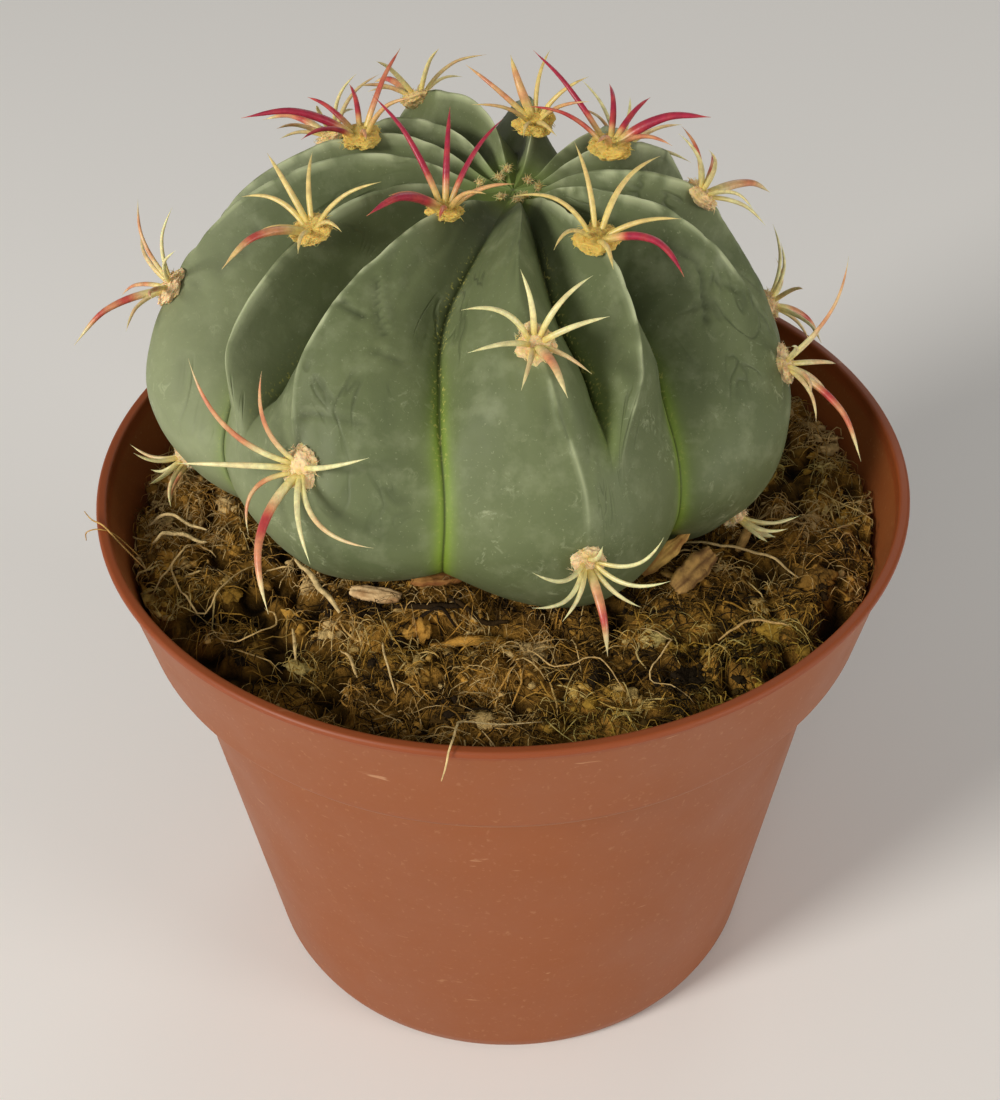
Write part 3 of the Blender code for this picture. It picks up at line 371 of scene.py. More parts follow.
# A spine is its clock position round the pad (0 up the rib, 90 to the right seen from outside), its
# lift off the skin in degrees, its length in mm and how red it is. The last is the thick central.
SPINES = {
    "left_front_14": ((280, 40, 17, 1.0), (325, 50, 13, 0.95), (5, 42, 13.5, 1.0), (60, 25, 9, 0.35),
                      (108, 30, 9, 0.25), (150, 12, 7, 0.6), (215, 18, 7.5, 0.55), (185, 14, 14, 0.9)),
    "left_front_47": ((328, 22, 17.5, 0.62), (0, 25, 12.5, 0.6), (280, 22, 14, 0.12),
                      (220, 22, 9.5, 0.55), (166, 25, 12, 0.05), (133, 15, 14.5, 0.3),
                      (88, 15, 11, 0.05), (186, 30, 17.5, 0.88)),
    "front_32": ((302, 25, 10, 0.05), (3, 28, 8.5, 0.05), (61, 25, 10, 0.08), (94, 25, 9, 0.05),
                 (150, 30, 8.5, 0.3), (217, 32, 9, 0.2), (268, 30, 10, 0.05), (184, 40, 11.5, 0.55)),
    "front_58": ((296, 30, 11, 0.05), (268, 34, 10.5, 0.05), (235, 40, 8, 0.1), (132, 36, 8, 0.1),
                 (88, 44, 10, 0.05), (50, 34, 10.5, 0.05), (5, 38, 5.5, 0.05), (182, 44, 11, 0.8)),
    "front_right_22": ((307, 22, 11.5, 0.1), (15, 25, 12, 0.15), (69, 25, 13, 0.1),
                       (122, 24, 10, 0.1), (205, 18, 8, 0.1), (255, 22, 9.5, 0.1),
                       (170, 20, 13.5, 0.95)),
    "right_52": ((18, 40, 15.5, 0.5), (62, 25, 9, 0.25), (96, 22, 10.5, 0.3), (135, 20, 9, 0.35),
                 (237, 25, 10, 0.45), (280, 22, 9, 0.1), (205, 20, 9.5, 0.3), (178, 28, 15.5, 0.85)),
    "right_69": ((300, 40, 6.5, 0.1), (330, 36, 7.5, 0.1), (0, 34, 8, 0.1), (30, 36, 7.5, 0.1),
                 (55, 48, 6.5, 0.1), (350, 62, 5.5, 0.2)),
    "right_back_32": ((71, 20, 9.5, 0.75), (1, 20, 11, 0.1), (334, 28, 12, 0.15), (281, 25, 11, 0.1),
                      (115, 20, 9, 0.8), (215, 20, 9, 0.1), (165, 25, 13, 0.6)),
    "back_right_short_17": ((70, 30, 16.5, 1.0), (112, 20, 10.5, 0.9), (20, 30, 12, 0.7),
                            (240, 18, 10, 0.5), (150, 20, 9, 0.9), (305, 30, 9, 0.4),
                            (200, 18, 13, 1.0)),
    "back_short_13": ((121, 25, 11.5, 0.6), (189, 18, 10, 0.1), (283, 35, 10, 0.5),
                      (240, 25, 9, 0.1), (61, 45, 10.5, 0.3), (0, 35, 8, 0.1), (325, 30, 8, 0.1),
                      (155, 35, 9, 0.5)),
    "left_back_short_20": ((130, 20, 10.5, 0.9), (223, 20, 10, 0.8), (303, 36, 13, 0.6),
                           (78, 18, 9, 0.4), (20, 35, 10, 0.3), (260, 25, 9, 0.8),
                           (165, 24, 15.5, 1.0)),
    "left_42": ((343, 45, 11.5, 0.5), (309, 30, 10, 0.3), (20, 30, 10, 0.1), (70, 22, 9, 0.1),
                (115, 20, 9, 0.5), (161, 20, 9, 0.3), (250, 22, 9, 0.6), (196, 30, 14, 0.85)),
    "left_short_24": ((290, 30, 11.5, 0.1), (256, 20, 10, 0.1), (322, 25, 10, 0.1),
                      (135, 20, 8, 0.1), (91, 20, 8, 0.1), (43, 22, 11, 0.1), (215, 18, 7, 0.2),
                      (177, 22, 13.5, 0.8)),
}
# Redness along a spine, where 0 is the root and 1 the tip. The reddest are red nearly all along:
ALL_RED = 0.9  # above this
RED_ROOT = (0.04, 0.34)
RED_TIP = (0.86, 1.0)
RED_TIP_PALER = 0.4
RED_BANDS = (0.1, (16, 24))  # strength and least and most waves, in radians
# The others are flushed in the middle:
FLUSH = 0.8
FLUSH_START = (0.05, 0.2)
FLUSH_RISE = 0.3
FLUSH_STOP = (0.75, 0.92)
FLUSH_FALL = 0.25
FLUSH_TIP_PALER = 0.75
FLUSH_BANDS = (0.18, (14, 20))
CENTRAL_FLUSH = (0.1, 0.62)  # where a central spine's flush starts and stops
# How far the spines of some clusters bulge to their clockwise side, as a share of their length
SWAYS = {
    "left_front_47": (-0.1, -0.1, 0.02, 0.25, 0.0, 0.15, 0.03, 0.1),
    "front_32": (0.14, 0.03, -0.07, 0.0, 0.0, 0.0, 0.0, 0.0),
    "front_58": (-0.08, -0.12, 0.0, 0.06, 0.1, 0.15, 0.0, 0.0),
    "front_right_22": (0.12, 0.0, -0.08, 0.0, 0.0, 0.12, -0.12),
    "left_short_24": (0.0, 0.1, 0.0, 0.0, -0.06, 0.0, 0.0, 0.05),
}
SWAY_VARIES = 0.06
# Spines of the other clusters, and how far their clock positions, lifts and lengths vary
USUAL_VARIES = (8, 4, 0.13)
USUAL_SPINES = ((8, 28, 9, 0.1), (58, 24, 10, 0.1), (98, 20, 9.5, 0.4), (142, 20, 8, 0.2),
                (218, 20, 8, 0.3), (262, 20, 9.5, 0.1), (306, 24, 10, 0.3), (180, 34, 11.5, 0.8))
LOW_REACH = 58  # from which a cluster has the smaller, low spines
LOW_SPINES = ((8, 34, 7.5, 0.1), (55, 34, 8, 0.1), (90, 40, 7, 0.2), (270, 40, 7, 0.1),
              (308, 34, 8, 0.3), (175, 66, 6, 0.6))

# Wool
WOOL_AGES = (22, 36)  # reaches between which the wool turns from mustard to tan
WOOL_SEED = 5
PAD_DETAIL = 5
FELT_LUMPS = ((0.16, 0.6), (0.13, 0.26), (0.08, 0.13))  # (height, size) against the pad's radius
# How strongly the felt's tone follows its lumps: painted shade in the hollows, painted light on the lumps.
FELT_SHADE_CONTRAST = 2.2
HAIR_LENGTH = (0.25 * MM, 0.8 * MM)
HAIR_RADIUS = (0.04 * MM, 0.07 * MM)
HAIR_RINGS = 4
HAIR_SIDES = 3
HAIR_TONES = (0.4, 1.0)
YOUNG_TUFTS = (("left_front", 3.0), ("front", 4.2), ("front_right", 3.2), ("right_back", 4.0),
               ("back_right", 3.0), ("back_left", 4.2), ("left_back", 3.0), ("left", 4.0))
YOUNG_SIZE = (0.8, 0.7)
YOUNG_THICKNESS = 0.7 * MM
YOUNG_DETAIL = 3
YOUNG_HAIRS = 40
YOUNG_AGE = 0.6

# Flakes of bark: name, place, size (long, wide, thick), seat above the soil, in mm, turn and lean
CHIPS = (
    ("bark_chip_pale", (-16.0, -20.8), (6.4, 2.4, 1.2), 1.8, -14, 0),
    ("bark_chip_orange", (-8.4, -18.6), (6.4, 2.0, 1.2), 2.2, 4, 0),
    ("bark_chip_brown", (23.6, -17.4), (8.6, 3.4, 1.2), 1.0, 52, 38),
)
# A leaf-like flake that leans on the stem: the same, and how steeply it stands
LEANING_FLAKE = ("leaning_flake", (20.4, -15.2), (8.0, 2.0, 0.7), 0.6, 30, 34, 32)
CHIP_SEAT = 4.6 * MM  # radius over which the soil is level under a flake
CHIP_SEAT_EDGE = 1.7  # times it, where the soil is uneven again
CHIP_SEAT_SMOOTH = 0.7  # how much smaller the clods are there
CHIP_COLUMNS = 28
CHIP_ROWS = 10
CHIP_NARROWS = 0.45  # how much narrower a flake is at its ends
LEAF_NARROWS = 0.8
CHIP_THICKNESS = 0.25
CHIP_CROWN = 0.25
CHIP_LAYERS = 0.2
CHIP_GRAIN = (0.85, 0.045)  # strength and size of its dark streaks

# Stage
PHOTO_HEIGHT = 1100
LENS_PIXELS = 1917.0  # focal length in pixels of the photograph
SENSOR = 36.0
CAMERA_ROLL = -1.0  # degrees
CAMERA_YAW = -0.112
CAMERA_PITCH = -2.6
CLIP_START = 0.01
FLOOR_RADIUS = 3.0
FLOOR_SIDES = 96
# Lights: name, place and diameter in metres, power in watts
LIGHTS = (
    ("key", (-0.74, -0.58, 0.58), 0.32, 8.4),
    ("front", (-0.1, -0.88, 0.62), 0.5, 1.3),
    ("fill", (0.8, -0.45, 0.25), 0.4, 3.0),
    ("back", (0.3, 0.9, 0.5), 0.5, 0.9),
)
LIGHT_COLOUR = (1.0, 0.96, 0.9)
ROOM_COLOUR = (1.0, 0.99, 0.97, 1.0)
ROOM_STRENGTH = 0.22


def colour_property(name, description, default):
    return FloatVectorProperty(name=name, description=description, subtype="COLOR", size=3,
                               min=0.0, max=1.0, default=default)


def size_property(name, description, default):
    return FloatProperty(name=name, description=description, default=default, min=0.0,
                         subtype="DISTANCE", unit="LENGTH", precision=5)


class PotSettings(PropertyGroup):
    plastic: colour_property("Plastic", "Colour of the pot", (0.285, 0.081, 0.021))
    # The lip colour darkens the top of the rim.
    lip: colour_property("Lip", "Colour of the worn rim", (0.27, 0.06, 0.014))
    # The scuff colour also paints the highlight along the collar's foot.
    scuffs_and_highlight: colour_property("Scuffs", "Colour of the pale scuffs", (0.55, 0.28, 0.14))
    steps: IntProperty(name="Steps", description="Sides of the turned shell", default=192, min=24)


class SoilSettings(PropertyGroup):
    peat: colour_property("Peat", "Darkest colour of the peat", (0.02, 0.011, 0.004))
    golden: colour_property("Golden Fibres", "Colour of the brighter peat", (0.66, 0.34, 0.06))
    straw: colour_property("Straw", "Colour of the palest fibres", (0.88, 0.66, 0.31))
    fibres: IntProperty(name="Fibres", description="Fibres in each of the three layers",
                        default=2700, min=10)
    fibre_radius: size_property("Fibre Radius", "Usual radius of a fibre", 0.1 * MM)
    crumbs: IntProperty(name="Crumbs", description="Loose crumbs of peat", default=1100, min=10)


class StemSettings(PropertyGroup):
    skin: colour_property("Skin", "Main colour of the skin", (0.152, 0.182, 0.08))
    shade: colour_property("Shade", "Darker patches of the skin", (0.104, 0.13, 0.056))
    # This colour also paints light on the stem's left side and the highlight along the crests.
    bloom_and_light: colour_property("Bloom", "Pale scars and worn crests", (0.4, 0.44, 0.26))
    # A dark copy of this colour paints the shade line in the grooves.
    groove: colour_property("Groove", "Bright glow along the grooves", (0.2, 0.3, 0.035))
    bead: colour_property("Bead", "Specks beside the dark grooves", (0.5, 0.47, 0.12))
    relief: size_property("Relief", "Height of the skin's soft unevenness", 0.22 * MM)


class SpineSettings(PropertyGroup):
    root: colour_property("Root", "Colour of the spines near the wool", (0.78, 0.6, 0.16))
    gold: colour_property("Gold", "Colour of the younger spines", (0.85, 0.69, 0.24))
    cream: colour_property("Cream", "Colour of the older plain spines", (0.88, 0.86, 0.44))
    blush: colour_property("Blush", "Colour halfway to red", (0.72, 0.33, 0.15))
    scarlet: colour_property("Scarlet", "Colour of the flushed spines", (0.55, 0.07, 0.06))
    crimson: colour_property("Crimson", "Colour of the reddest spines", (0.42, 0.025, 0.06))
    mustard: colour_property("Mustard", "Colour of the younger wool", (0.78, 0.53, 0.12))
    wool: colour_property("Wool", "Colour of the older wool", (0.95, 0.68, 0.38))
    wool_hairs: IntProperty(name="Wool Hairs", description="Hairs on each pad", default=90, min=1)


class BarkSettings(PropertyGroup):
    pale: colour_property("Pale Flake", "Colour of the pale flake", (0.85, 0.6, 0.3))
    pale_grain: colour_property("Pale Grain", "Dark grain of the pale flake", (0.42, 0.22, 0.08))
    orange: colour_property("Orange Flake", "Colour of the orange flake", (0.78, 0.38, 0.1))
    orange_grain: colour_property("Orange Grain", "Dark grain of the orange flake", (0.34, 0.12, 0.03))
    brown: colour_property("Brown Flake", "Colour of the brown flake", (0.6, 0.35, 0.1))
    brown_grain: colour_property("Brown Grain", "Dark grain of the brown flake", (0.16, 0.07, 0.02))
    leaf: colour_property("Leaning Flake", "Colour of the leaf-like flake", (0.76, 0.47, 0.12))
    leaf_grain: colour_property("Leaning Grain", "Dark grain of the leaf-like flake", (0.34, 0.14, 0.03))


class StageSettings(PropertyGroup):
    floor: colour_property("Floor", "Colour of the floor", (0.9, 0.89, 0.87))
    distance: size_property("Distance", "From the camera to the middle of the rim", 0.2505)
    height_angle: FloatProperty(name="Height Angle", description="Camera above the horizon",
                                default=math.radians(37.43), subtype="ANGLE", unit="ROTATION")
    strength: FloatProperty(name="Light", description="Strength of all lights", default=1.0, min=0.0)


# Shapes

def hermite(x, xs, ys):
    """A smooth curve through (xs, ys) at x, level beyond both ends. ys may hold several curves."""
    xs = np.asarray(xs, float)
    ys = np.asarray(ys, float)
    slopes = np.gradient(ys, xs, axis=-1)
    slopes[..., 0] = 0.0
    slopes[..., -1] = 0.0
    x = np.clip(x, xs[0], xs[-1])
    i = np.clip(np.searchsorted(xs, x, side="right") - 1, 0, len(xs) - 2)
    span = xs[i + 1] - xs[i]
    u = (x - xs[i]) / span
    return ((2 * u ** 3 - 3 * u ** 2 + 1) * ys[..., i] + (u ** 3 - 2 * u ** 2 + u) * span * slopes[..., i]
            + (3 * u ** 2 - 2 * u ** 3) * ys[..., i + 1] + (u ** 3 - u ** 2) * span * slopes[..., i + 1])


def ramp(pairs, x):
    """A smooth curve through (x, y) pairs, read at x."""
    return hermite(x, [p[0] for p in pairs], [p[1] for p in pairs])


def smoothstep(low, high, x):
    """0 up to low and 1 from high, with a soft rise between. low may be above high."""
    u = np.clip((x - low) / (high - low), 0.0, 1.0)
    return u * u * (3 - 2 * u)


def between(starts, ends, x):
    """Rises over the pair starts and falls over the pair ends."""
    return smoothstep(*starts, x) * (1 - smoothstep(*ends, x))


def bell(distance, width):
    """1 at no distance, falling softly to nothing at about twice the width."""
    return np.exp(-(distance / width) ** 2)


def smooth_path(points, per_span=12):
    """Points along a Catmull-Rom curve through the given ones, as an array."""
    points = np.asarray(points, float)
    ends = np.vstack([2 * points[0] - points[1], points, 2 * points[-1] - points[-2]])
    found = []
    for a, b, c, d in zip(ends, ends[1:], ends[2:], ends[3:]):
        for step in range(per_span):
            u = step / per_span
            found.append(0.5 * (2 * b + (c - a) * u + (2 * a - 5 * b + 4 * c - d) * u * u
                                + (3 * b - a - 3 * c + d) * u ** 3))
    found.append(points[-1])
    return np.array(found)


def lumps(points, size, seed=0.0):
    """Smooth noise between about -1 and 1 at each point, with features of a size in metres."""
    shift = Vector((seed, 2 * seed, -seed))
    return np.array([noise.noise(Vector(point) / size + shift) for point in points])


def layered(points, layers):
    """A sum of lumps, each layer with its strength, its size in mm and its seed."""
    return sum(strength * lumps(points, size * MM, seed) for strength, size, seed in layers)


def unit(vectors):
    """Vectors brought to length one."""
    return vectors / np.maximum(np.linalg.norm(vectors, axis=-1, keepdims=True), 1e-12)


def ring_faces(index):
    """Quads between neighbouring rings of points, numbered as (..., rings, points)."""
    after = np.roll(index, -1, axis=-1)
    quads = np.stack([index[..., :-1, :], after[..., :-1, :], after[..., 1:, :], index[..., 1:, :]], -1)
    return quads.reshape(-1, 4)


def closed_skin(rings, first, last):
    """Points and faces of rings joined in a row, with a pole at each end. Seen from where the rings
    advance to, each ring runs counter-clockwise."""
    rows, columns, _ = rings.shape
    index = np.arange(rows * columns).reshape(rows, columns)
    points = np.concatenate([rings.reshape(-1, 3), [first, last]])
    after = np.roll(index, -1, axis=1)
    pole = np.full(columns, rows * columns)
    fans = np.concatenate([np.stack([after[0], index[0], pole], -1),
                           np.stack([index[-1], after[-1], pole + 1], -1)])
    return points, [ring_faces(index), fans]


def tubes(paths, radii, sides, first_side=None, flatness=1.0):
    """Points and faces of many tapered tubes: paths is (tubes, rings, 3) and radii (tubes, rings)."""
    count, rings, _ = paths.shape
    along = unit(np.gradient(paths, axis=1))
    if first_side is None:
        least = np.eye(3)[np.argmin(np.abs(along[:, 0]), axis=1)]
        first_side = np.cross(along[:, 0], least)
    side = first_side
    angles = 2 * np.pi * np.arange(sides) / sides
    points = np.empty((count, rings, sides, 3))
    for k in range(rings):
        side = unit(side - along[:, k] * np.sum(side * along[:, k], axis=1, keepdims=True))
        across = np.cross(along[:, k], side) * flatness
        ring = side[:, None] * np.cos(angles)[:, None] + across[:, None] * np.sin(angles)[:, None]
        points[:, k] = paths[:, k, None] + ring * radii[:, k, None, None]
    index = np.arange(count * rings * sides).reshape(count, rings, sides)
    return points.reshape(-1, 3), [ring_faces(index), index[:, 0, ::-1], index[:, -1]]


def mesh_from(name, points, faces, marks=None):
    """A smooth mesh from points and groups of faces of equal corner count. marks are numbers kept
    on the points, which a finish can read."""
    mesh = bpy.data.meshes.new(name)
    mesh.vertices.add(len(points))
    mesh.vertices.foreach_set("co", np.asarray(points, np.float32).ravel())
    corners = np.concatenate([np.asarray(group, np.int32).ravel() for group in faces])
    counts = np.concatenate([np.full(len(group), group.shape[1]) for group in faces])
    mesh.loops.add(len(corners))
    mesh.loops.foreach_set("vertex_index", corners)
    mesh.polygons.add(len(counts))
    starts = np.concatenate([[0], np.cumsum(counts)[:-1]])
    mesh.polygons.foreach_set("loop_start", starts.astype(np.int32))
    mesh.update(calc_edges=True)
    mesh.validate()
    mesh.shade_smooth()
    for mark, values in (marks or {}).items():
        layer = mesh.attributes.new(mark, "FLOAT", "POINT")
        layer.data.foreach_set("value", np.asarray(values, np.float32).ravel())
    return mesh


def joined(parts):
    """One set of points and faces from several."""
    points, groups, start = [], {}, 0
    for some_points, faces in parts:
        points.append(some_points)
        for group in faces:
            groups.setdefault(group.shape[1], []).append(group + start)
        start += len(some_points)
    return np.concatenate(points), [np.concatenate(group) for group in groups.values()]


def add_object(name, data):
    """A new object in the scene."""
    made = bpy.data.objects.new(name, data)
    bpy.context.scene.collection.objects.link(made)
    return made


def place(name, mesh, finish, slot, *replaced):
    """Adds a piece that rides on the frame and stands for the named solids."""
    mesh.materials.append(finish)
    piece = add_object(name, mesh)
    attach(piece, "root")
    if replaced:
        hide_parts(*replaced)
    return piece


# Stem surface

OUTLINE = smooth_path(CREST_OUTLINE)
REACHES = np.concatenate([[0.0], np.cumsum(np.linalg.norm(np.diff(OUTLINE, axis=0), axis=1))])
ROOT_END = REACHES[-1]
MIDDLE = smooth_path(STEM_MIDDLE)
RIB_INDEX = {row[0]: i for i, row in enumerate(RIBS)}


def crest_outline(reach):
    """(radius, height above the soil) on the crest outline and its outward normal, in mm."""
    def at(where):
        return np.stack([np.interp(where, REACHES, OUTLINE[:, k]) for k in (0, 1)], -1)
    along = unit(at(np.clip(reach + 0.8, 0, ROOT_END)) - at(np.clip(reach - 0.8, 0, ROOT_END)))
    return at(reach), np.stack([-along[..., 1], along[..., 0]], -1)


def knots(reach):
    """Azimuths of groove, crest, groove, crest ... round the plant at each reach."""
    lines = np.empty((2 * len(RIBS) + 1,) + np.shape(reach))
    lines[0:-1:2] = hermite(reach, AZIMUTH_REACHES, [row[1] for row in RIBS])
    lines[1:-1:2] = hermite(reach, AZIMUTH_REACHES, [row[2] for row in RIBS])
    lines[-1] = lines[0] + 360
    return lines


def groove_depth(index, reach):
    """Depth of the groove to the left of each rib in index, in mm."""
    deep = np.array([row[3] for row in RIBS])[index % len(RIBS)]
    foot_deep = np.array([row[4] for row in RIBS])[index % len(RIBS)]
    return deep * ramp(GROOVE_DEPTH, reach) + foot_deep * between(FOOT_DEEPENS, FOOT_ENDS, reach)


def flank(share, bulge):
    """Height on a flank at a share of the way from groove to crest: straight, or bulged."""
    return share + bulge * share * (1 - share)


def broad_fall(azimuth, reach, lines, bulge):
    """How far a point lies below the crests where only the broad ribs are left, in mm."""
    fall = np.zeros(azimuth.shape)
    for n, (start, kept) in enumerate(BROAD_RIBS):
        following = RIB_INDEX[BROAD_RIBS[(n + 1) % len(BROAD_RIBS)][0]]
        start = RIB_INDEX[start]
        left = lines[2 * start]
        width = (lines[2 * following] - left) % 360
        crest = (lines[2 * RIB_INDEX[kept] + 1] - left) % 360
        inside = (azimuth - left) % 360
        rising = inside <= crest
        height = np.where(rising, inside / crest, (width - inside) / (width - crest))
        depth = groove_depth(np.where(rising, start, following), reach)
        fall = np.where(inside <= width, depth * (1 - flank(height, bulge)), fall)
    return fall


def stem_points(turn, reach, outward=0.0):
    """Points of the stem's skin, moved outward by a distance in metres."""
    turn, reach = np.broadcast_arrays(np.asarray(turn, float), np.asarray(reach, float))
    lines = knots(reach)
    half = np.clip(np.floor(2 * turn + 1e-6).astype(int), 0, 2 * len(RIBS) - 1)
    share = 2 * turn - half
    before = np.take_along_axis(lines, half[None], axis=0)[0]
    after = np.take_along_axis(lines, half[None] + 1, axis=0)[0]
    azimuth = before + (after - before) * share
    height = np.where(half % 2 == 0, share, 1 - share)
    bulge = ramp(FLANK_BULGE, reach)
    rounder = np.zeros(reach.shape)
    for rib, side, extra, starts, ends in ROUND_FLANKS:
        there = half == 2 * RIB_INDEX[rib] + side
        rounder += there * extra * between(starts, ends, reach)
    sharp = groove_depth((half + 1) // 2, reach) * (1 - flank(height, bulge + rounder))
    sharp = np.sqrt(sharp ** 2 + CREST_ROUNDING ** 2) - CREST_ROUNDING
    sharp -= np.array([row[5] for row in RIBS])[half // 2] * height * smoothstep(*CREST_STANDS, reach)
    broad = broad_fall(azimuth, reach, lines, bulge)
    fall = sharp + (broad - sharp) * smoothstep(*SHORT_RIBS_FADE, reach)
    outline, normal = crest_outline(reach)
    out = np.maximum(outline[..., 0] * MM + normal[..., 0] * (outward - fall * MM), 0.0)
    for facing, part, power, where in DRAWN_IN:
        near = np.maximum(np.cos(np.radians(azimuth - facing)), 0.0) ** power
        out = out * (1 - part * near * smoothstep(*where, reach))
    up = outline[..., 1] * MM + normal[..., 1] * (outward - fall * MM)
    x = np.interp(reach, MIDDLE[:, 0], MIDDLE[:, 1]) * MM + out * np.sin(np.radians(azimuth))
    y = np.interp(reach, MIDDLE[:, 0], MIDDLE[:, 2]) * MM - out * np.cos(np.radians(azimuth))
    return np.stack([x, y, SOIL_LEVEL + up], -1)


def stem_frame(rib, reach):
    """Place of an areole on a rib's crest, with its outward, up-the-rib and right directions."""
    turn = RIB_INDEX[rib] + 0.5
    here = stem_points(turn, reach)
    up = unit(stem_points(turn, reach - 1.5) - stem_points(turn, reach + 1.5))
    _, normal = crest_outline(reach)
    azimuth = np.radians(knots(reach)[2 * RIB_INDEX[rib] + 1])
    out = np.array([normal[0] * np.sin(azimuth), -normal[0] * np.cos(azimuth), normal[1]])
    out = unit(out - up * out.dot(up))
    return here, out, up, np.cross(up, out)


# Finishes

class Finish:
    """A procedural material, built node by node."""

    def __init__(self, name, sockets):
        self.material = bpy.data.materials.new(name)
        self.material.use_nodes = True
        self.nodes = self.material.node_tree.nodes
        self.links = self.material.node_tree.links
        self.shader = self.nodes["Principled BSDF"]
        for socket, value in sockets.items():
            self.shader.inputs[socket].default_value = value
        self.spot = self.nodes.new("ShaderNodeTexCoord").outputs["Object"]

    def feed(self, socket, value):
        """Links a node's output to a socket, or sets a number or a colour on it."""
        if isinstance(value, bpy.types.NodeSocket):
            self.links.new(value, socket)
        elif isinstance(value, (tuple, list)) or hasattr(value, "__len__"):
            socket.default_value = (*value, 1.0)[:len(socket.default_value)]
        else:
            socket.default_value = value

    def mark(self, name):
        """The numbers of a mark that a mesh carries."""
        found = self.nodes.new("ShaderNodeAttribute")
        found.attribute_name = name
        return found.outputs["Fac"]

    def unrolled(self):
        """Where a point is on the unrolled skin, in mm, from its marks."""
        made = self.nodes.new("ShaderNodeCombineXYZ")
        for socket, name in zip(made.inputs, ("across", "along")):
            self.links.new(self.mark(name), socket)
        return made.outputs["Vector"]

    def noise(self, *, scale, detail=3.0, roughness=0.55, distortion=0.0, stretch=None, spot=None):
        made = self.nodes.new("ShaderNodeTexNoise")
        spot = spot or self.spot
        if stretch:
            mapping = self.nodes.new("ShaderNodeMapping")
            mapping.inputs["Scale"].default_value = stretch
            self.links.new(spot, mapping.inputs["Vector"])
            spot = mapping.outputs["Vector"]
        self.links.new(spot, made.inputs["Vector"])
        for socket, value in (("Scale", scale), ("Detail", detail), ("Roughness", roughness),
                              ("Distortion", distortion)):
            made.inputs[socket].default_value = value
        return made.outputs["Fac"]

    def height(self):
        """Height above the floor."""
        split = self.nodes.new("ShaderNodeSeparateXYZ")
        self.links.new(self.spot, split.inputs[0])
        return split.outputs["Z"]

    def ramp(self, value, *stops):
        """The greys or colours of the stops, each given as (place, grey or colour), read by a value."""
        made = self.nodes.new("ShaderNodeValToRGB")
        self.links.new(value, made.inputs["Fac"])
        elements = made.color_ramp.elements
        while len(elements) < len(stops):
            elements.new(0.5)
        for element, (where, colour) in zip(elements, stops):
            element.position = where
            element.color = (*colour, 1.0) if hasattr(colour, "__len__") else (colour,) * 3 + (1.0,)
        return made.outputs["Color"]

    def patches(self, edges, level=1.0, **look):
        """Patches of noise: nothing below the first edge and the level above the second."""
        return self.ramp(self.noise(**look), (edges[0], 0.0), (edges[1], level))

    def math(self, operation, a, b=0.0):
        made = self.nodes.new("ShaderNodeMath")
        made.operation = operation
        self.feed(made.inputs[0], a)
        self.feed(made.inputs[1], b)
        return made.outputs[0]

    def mix(self, factor, a, b, blend="MIX"):
        made = self.nodes.new("ShaderNodeMix")
        made.data_type = "RGBA"
        made.blend_type = blend
        made.clamp_factor = True
        self.feed(made.inputs[0], factor)
        self.feed(made.inputs[6], a)
        self.feed(made.inputs[7], b)
        return made.outputs[2]

    def tint(self, colour, amount, tone, share=1.0):
        """A colour with another laid over it, by an amount and a share of it."""
        if share != 1.0:
            amount = self.math("MULTIPLY", amount, share)
        return self.mix(amount, colour, tone)

    def bump(self, height, *, strength, distance):
        """Adds fine relief to the surface. The distance is in metres."""
        made = self.nodes.new("ShaderNodeBump")
        made.inputs["Strength"].default_value = strength
        made.inputs["Distance"].default_value = distance
        self.links.new(height, made.inputs["Height"])
        if self.shader.inputs["Normal"].is_linked:
            self.links.new(self.shader.inputs["Normal"].links[0].from_socket, made.inputs["Normal"])
        self.links.new(made.outputs["Normal"], self.shader.inputs["Normal"])

    def set(self, socket, value):
        """Feeds a socket of the shader."""
        self.feed(self.shader.inputs[socket], value)


def toned(colour, share):
    """A colour made darker, or brighter by a share above one."""
    return tuple(c * share for c in colour)


def pot_finish(settings):
    """Satin terracotta plastic: faint mottling, a darker lip, pale scuff marks and scratches, and at the
    collar's foot a pale line that is partly scuffed and partly a painted highlight.
    """
    made = Finish("pot_plastic", {"Subsurface Weight": 0.04, "Subsurface Scale": 0.002,
                                  "Specular IOR Level": 0.35})
    height = made.math("DIVIDE", made.height(), POT_HEIGHT)
    foot = (POT_HEIGHT - COLLAR_DEPTH) / POT_HEIGHT
    colour = made.mix(made.noise(scale=28, detail=4), toned(settings.plastic, 0.9),
                      toned(settings.plastic, 1.1))
    colour = made.tint(colour, made.patches((0.62, 0.74), scale=1400, detail=2), settings.scuffs_and_highlight, 0.25)
    # A darker band over the top of the rim.
    colour = made.tint(colour, made.ramp(height, (0.972, 0.0), (0.98, 1.0)), settings.lip)
    # A pale line along the collar's foot: scuff marks broken up by noise, and a painted highlight on the
    # step's edge.
    foot_scuffs_and_highlight = made.ramp(height, (foot - 0.004, 0.0), (foot + 0.001, 0.9), (foot + 0.007, 0.0))
    worn = made.ramp(made.noise(scale=120, detail=5, roughness=0.7), (0.4, 0.15), (0.58, 0.85))
    colour = made.tint(colour, made.math("MULTIPLY", foot_scuffs_and_highlight, worn), settings.scuffs_and_highlight)
    scratches = made.patches((0.7, 0.76), 0.7, scale=150, detail=3, roughness=0.6, distortion=0.4,
                             stretch=(1.0, 1.0, 4.5))
    made.set("Base Color", made.tint(colour, scratches, settings.scuffs_and_highlight))
    made.set("Roughness", made.ramp(made.noise(scale=60, detail=4), (0.3, 0.42), (0.7, 0.58)))
    made.bump(made.noise(scale=900, detail=2), strength=0.06, distance=0.0002)
    made.bump(made.noise(scale=40, detail=2), strength=0.1, distance=0.0008)
    return made.material


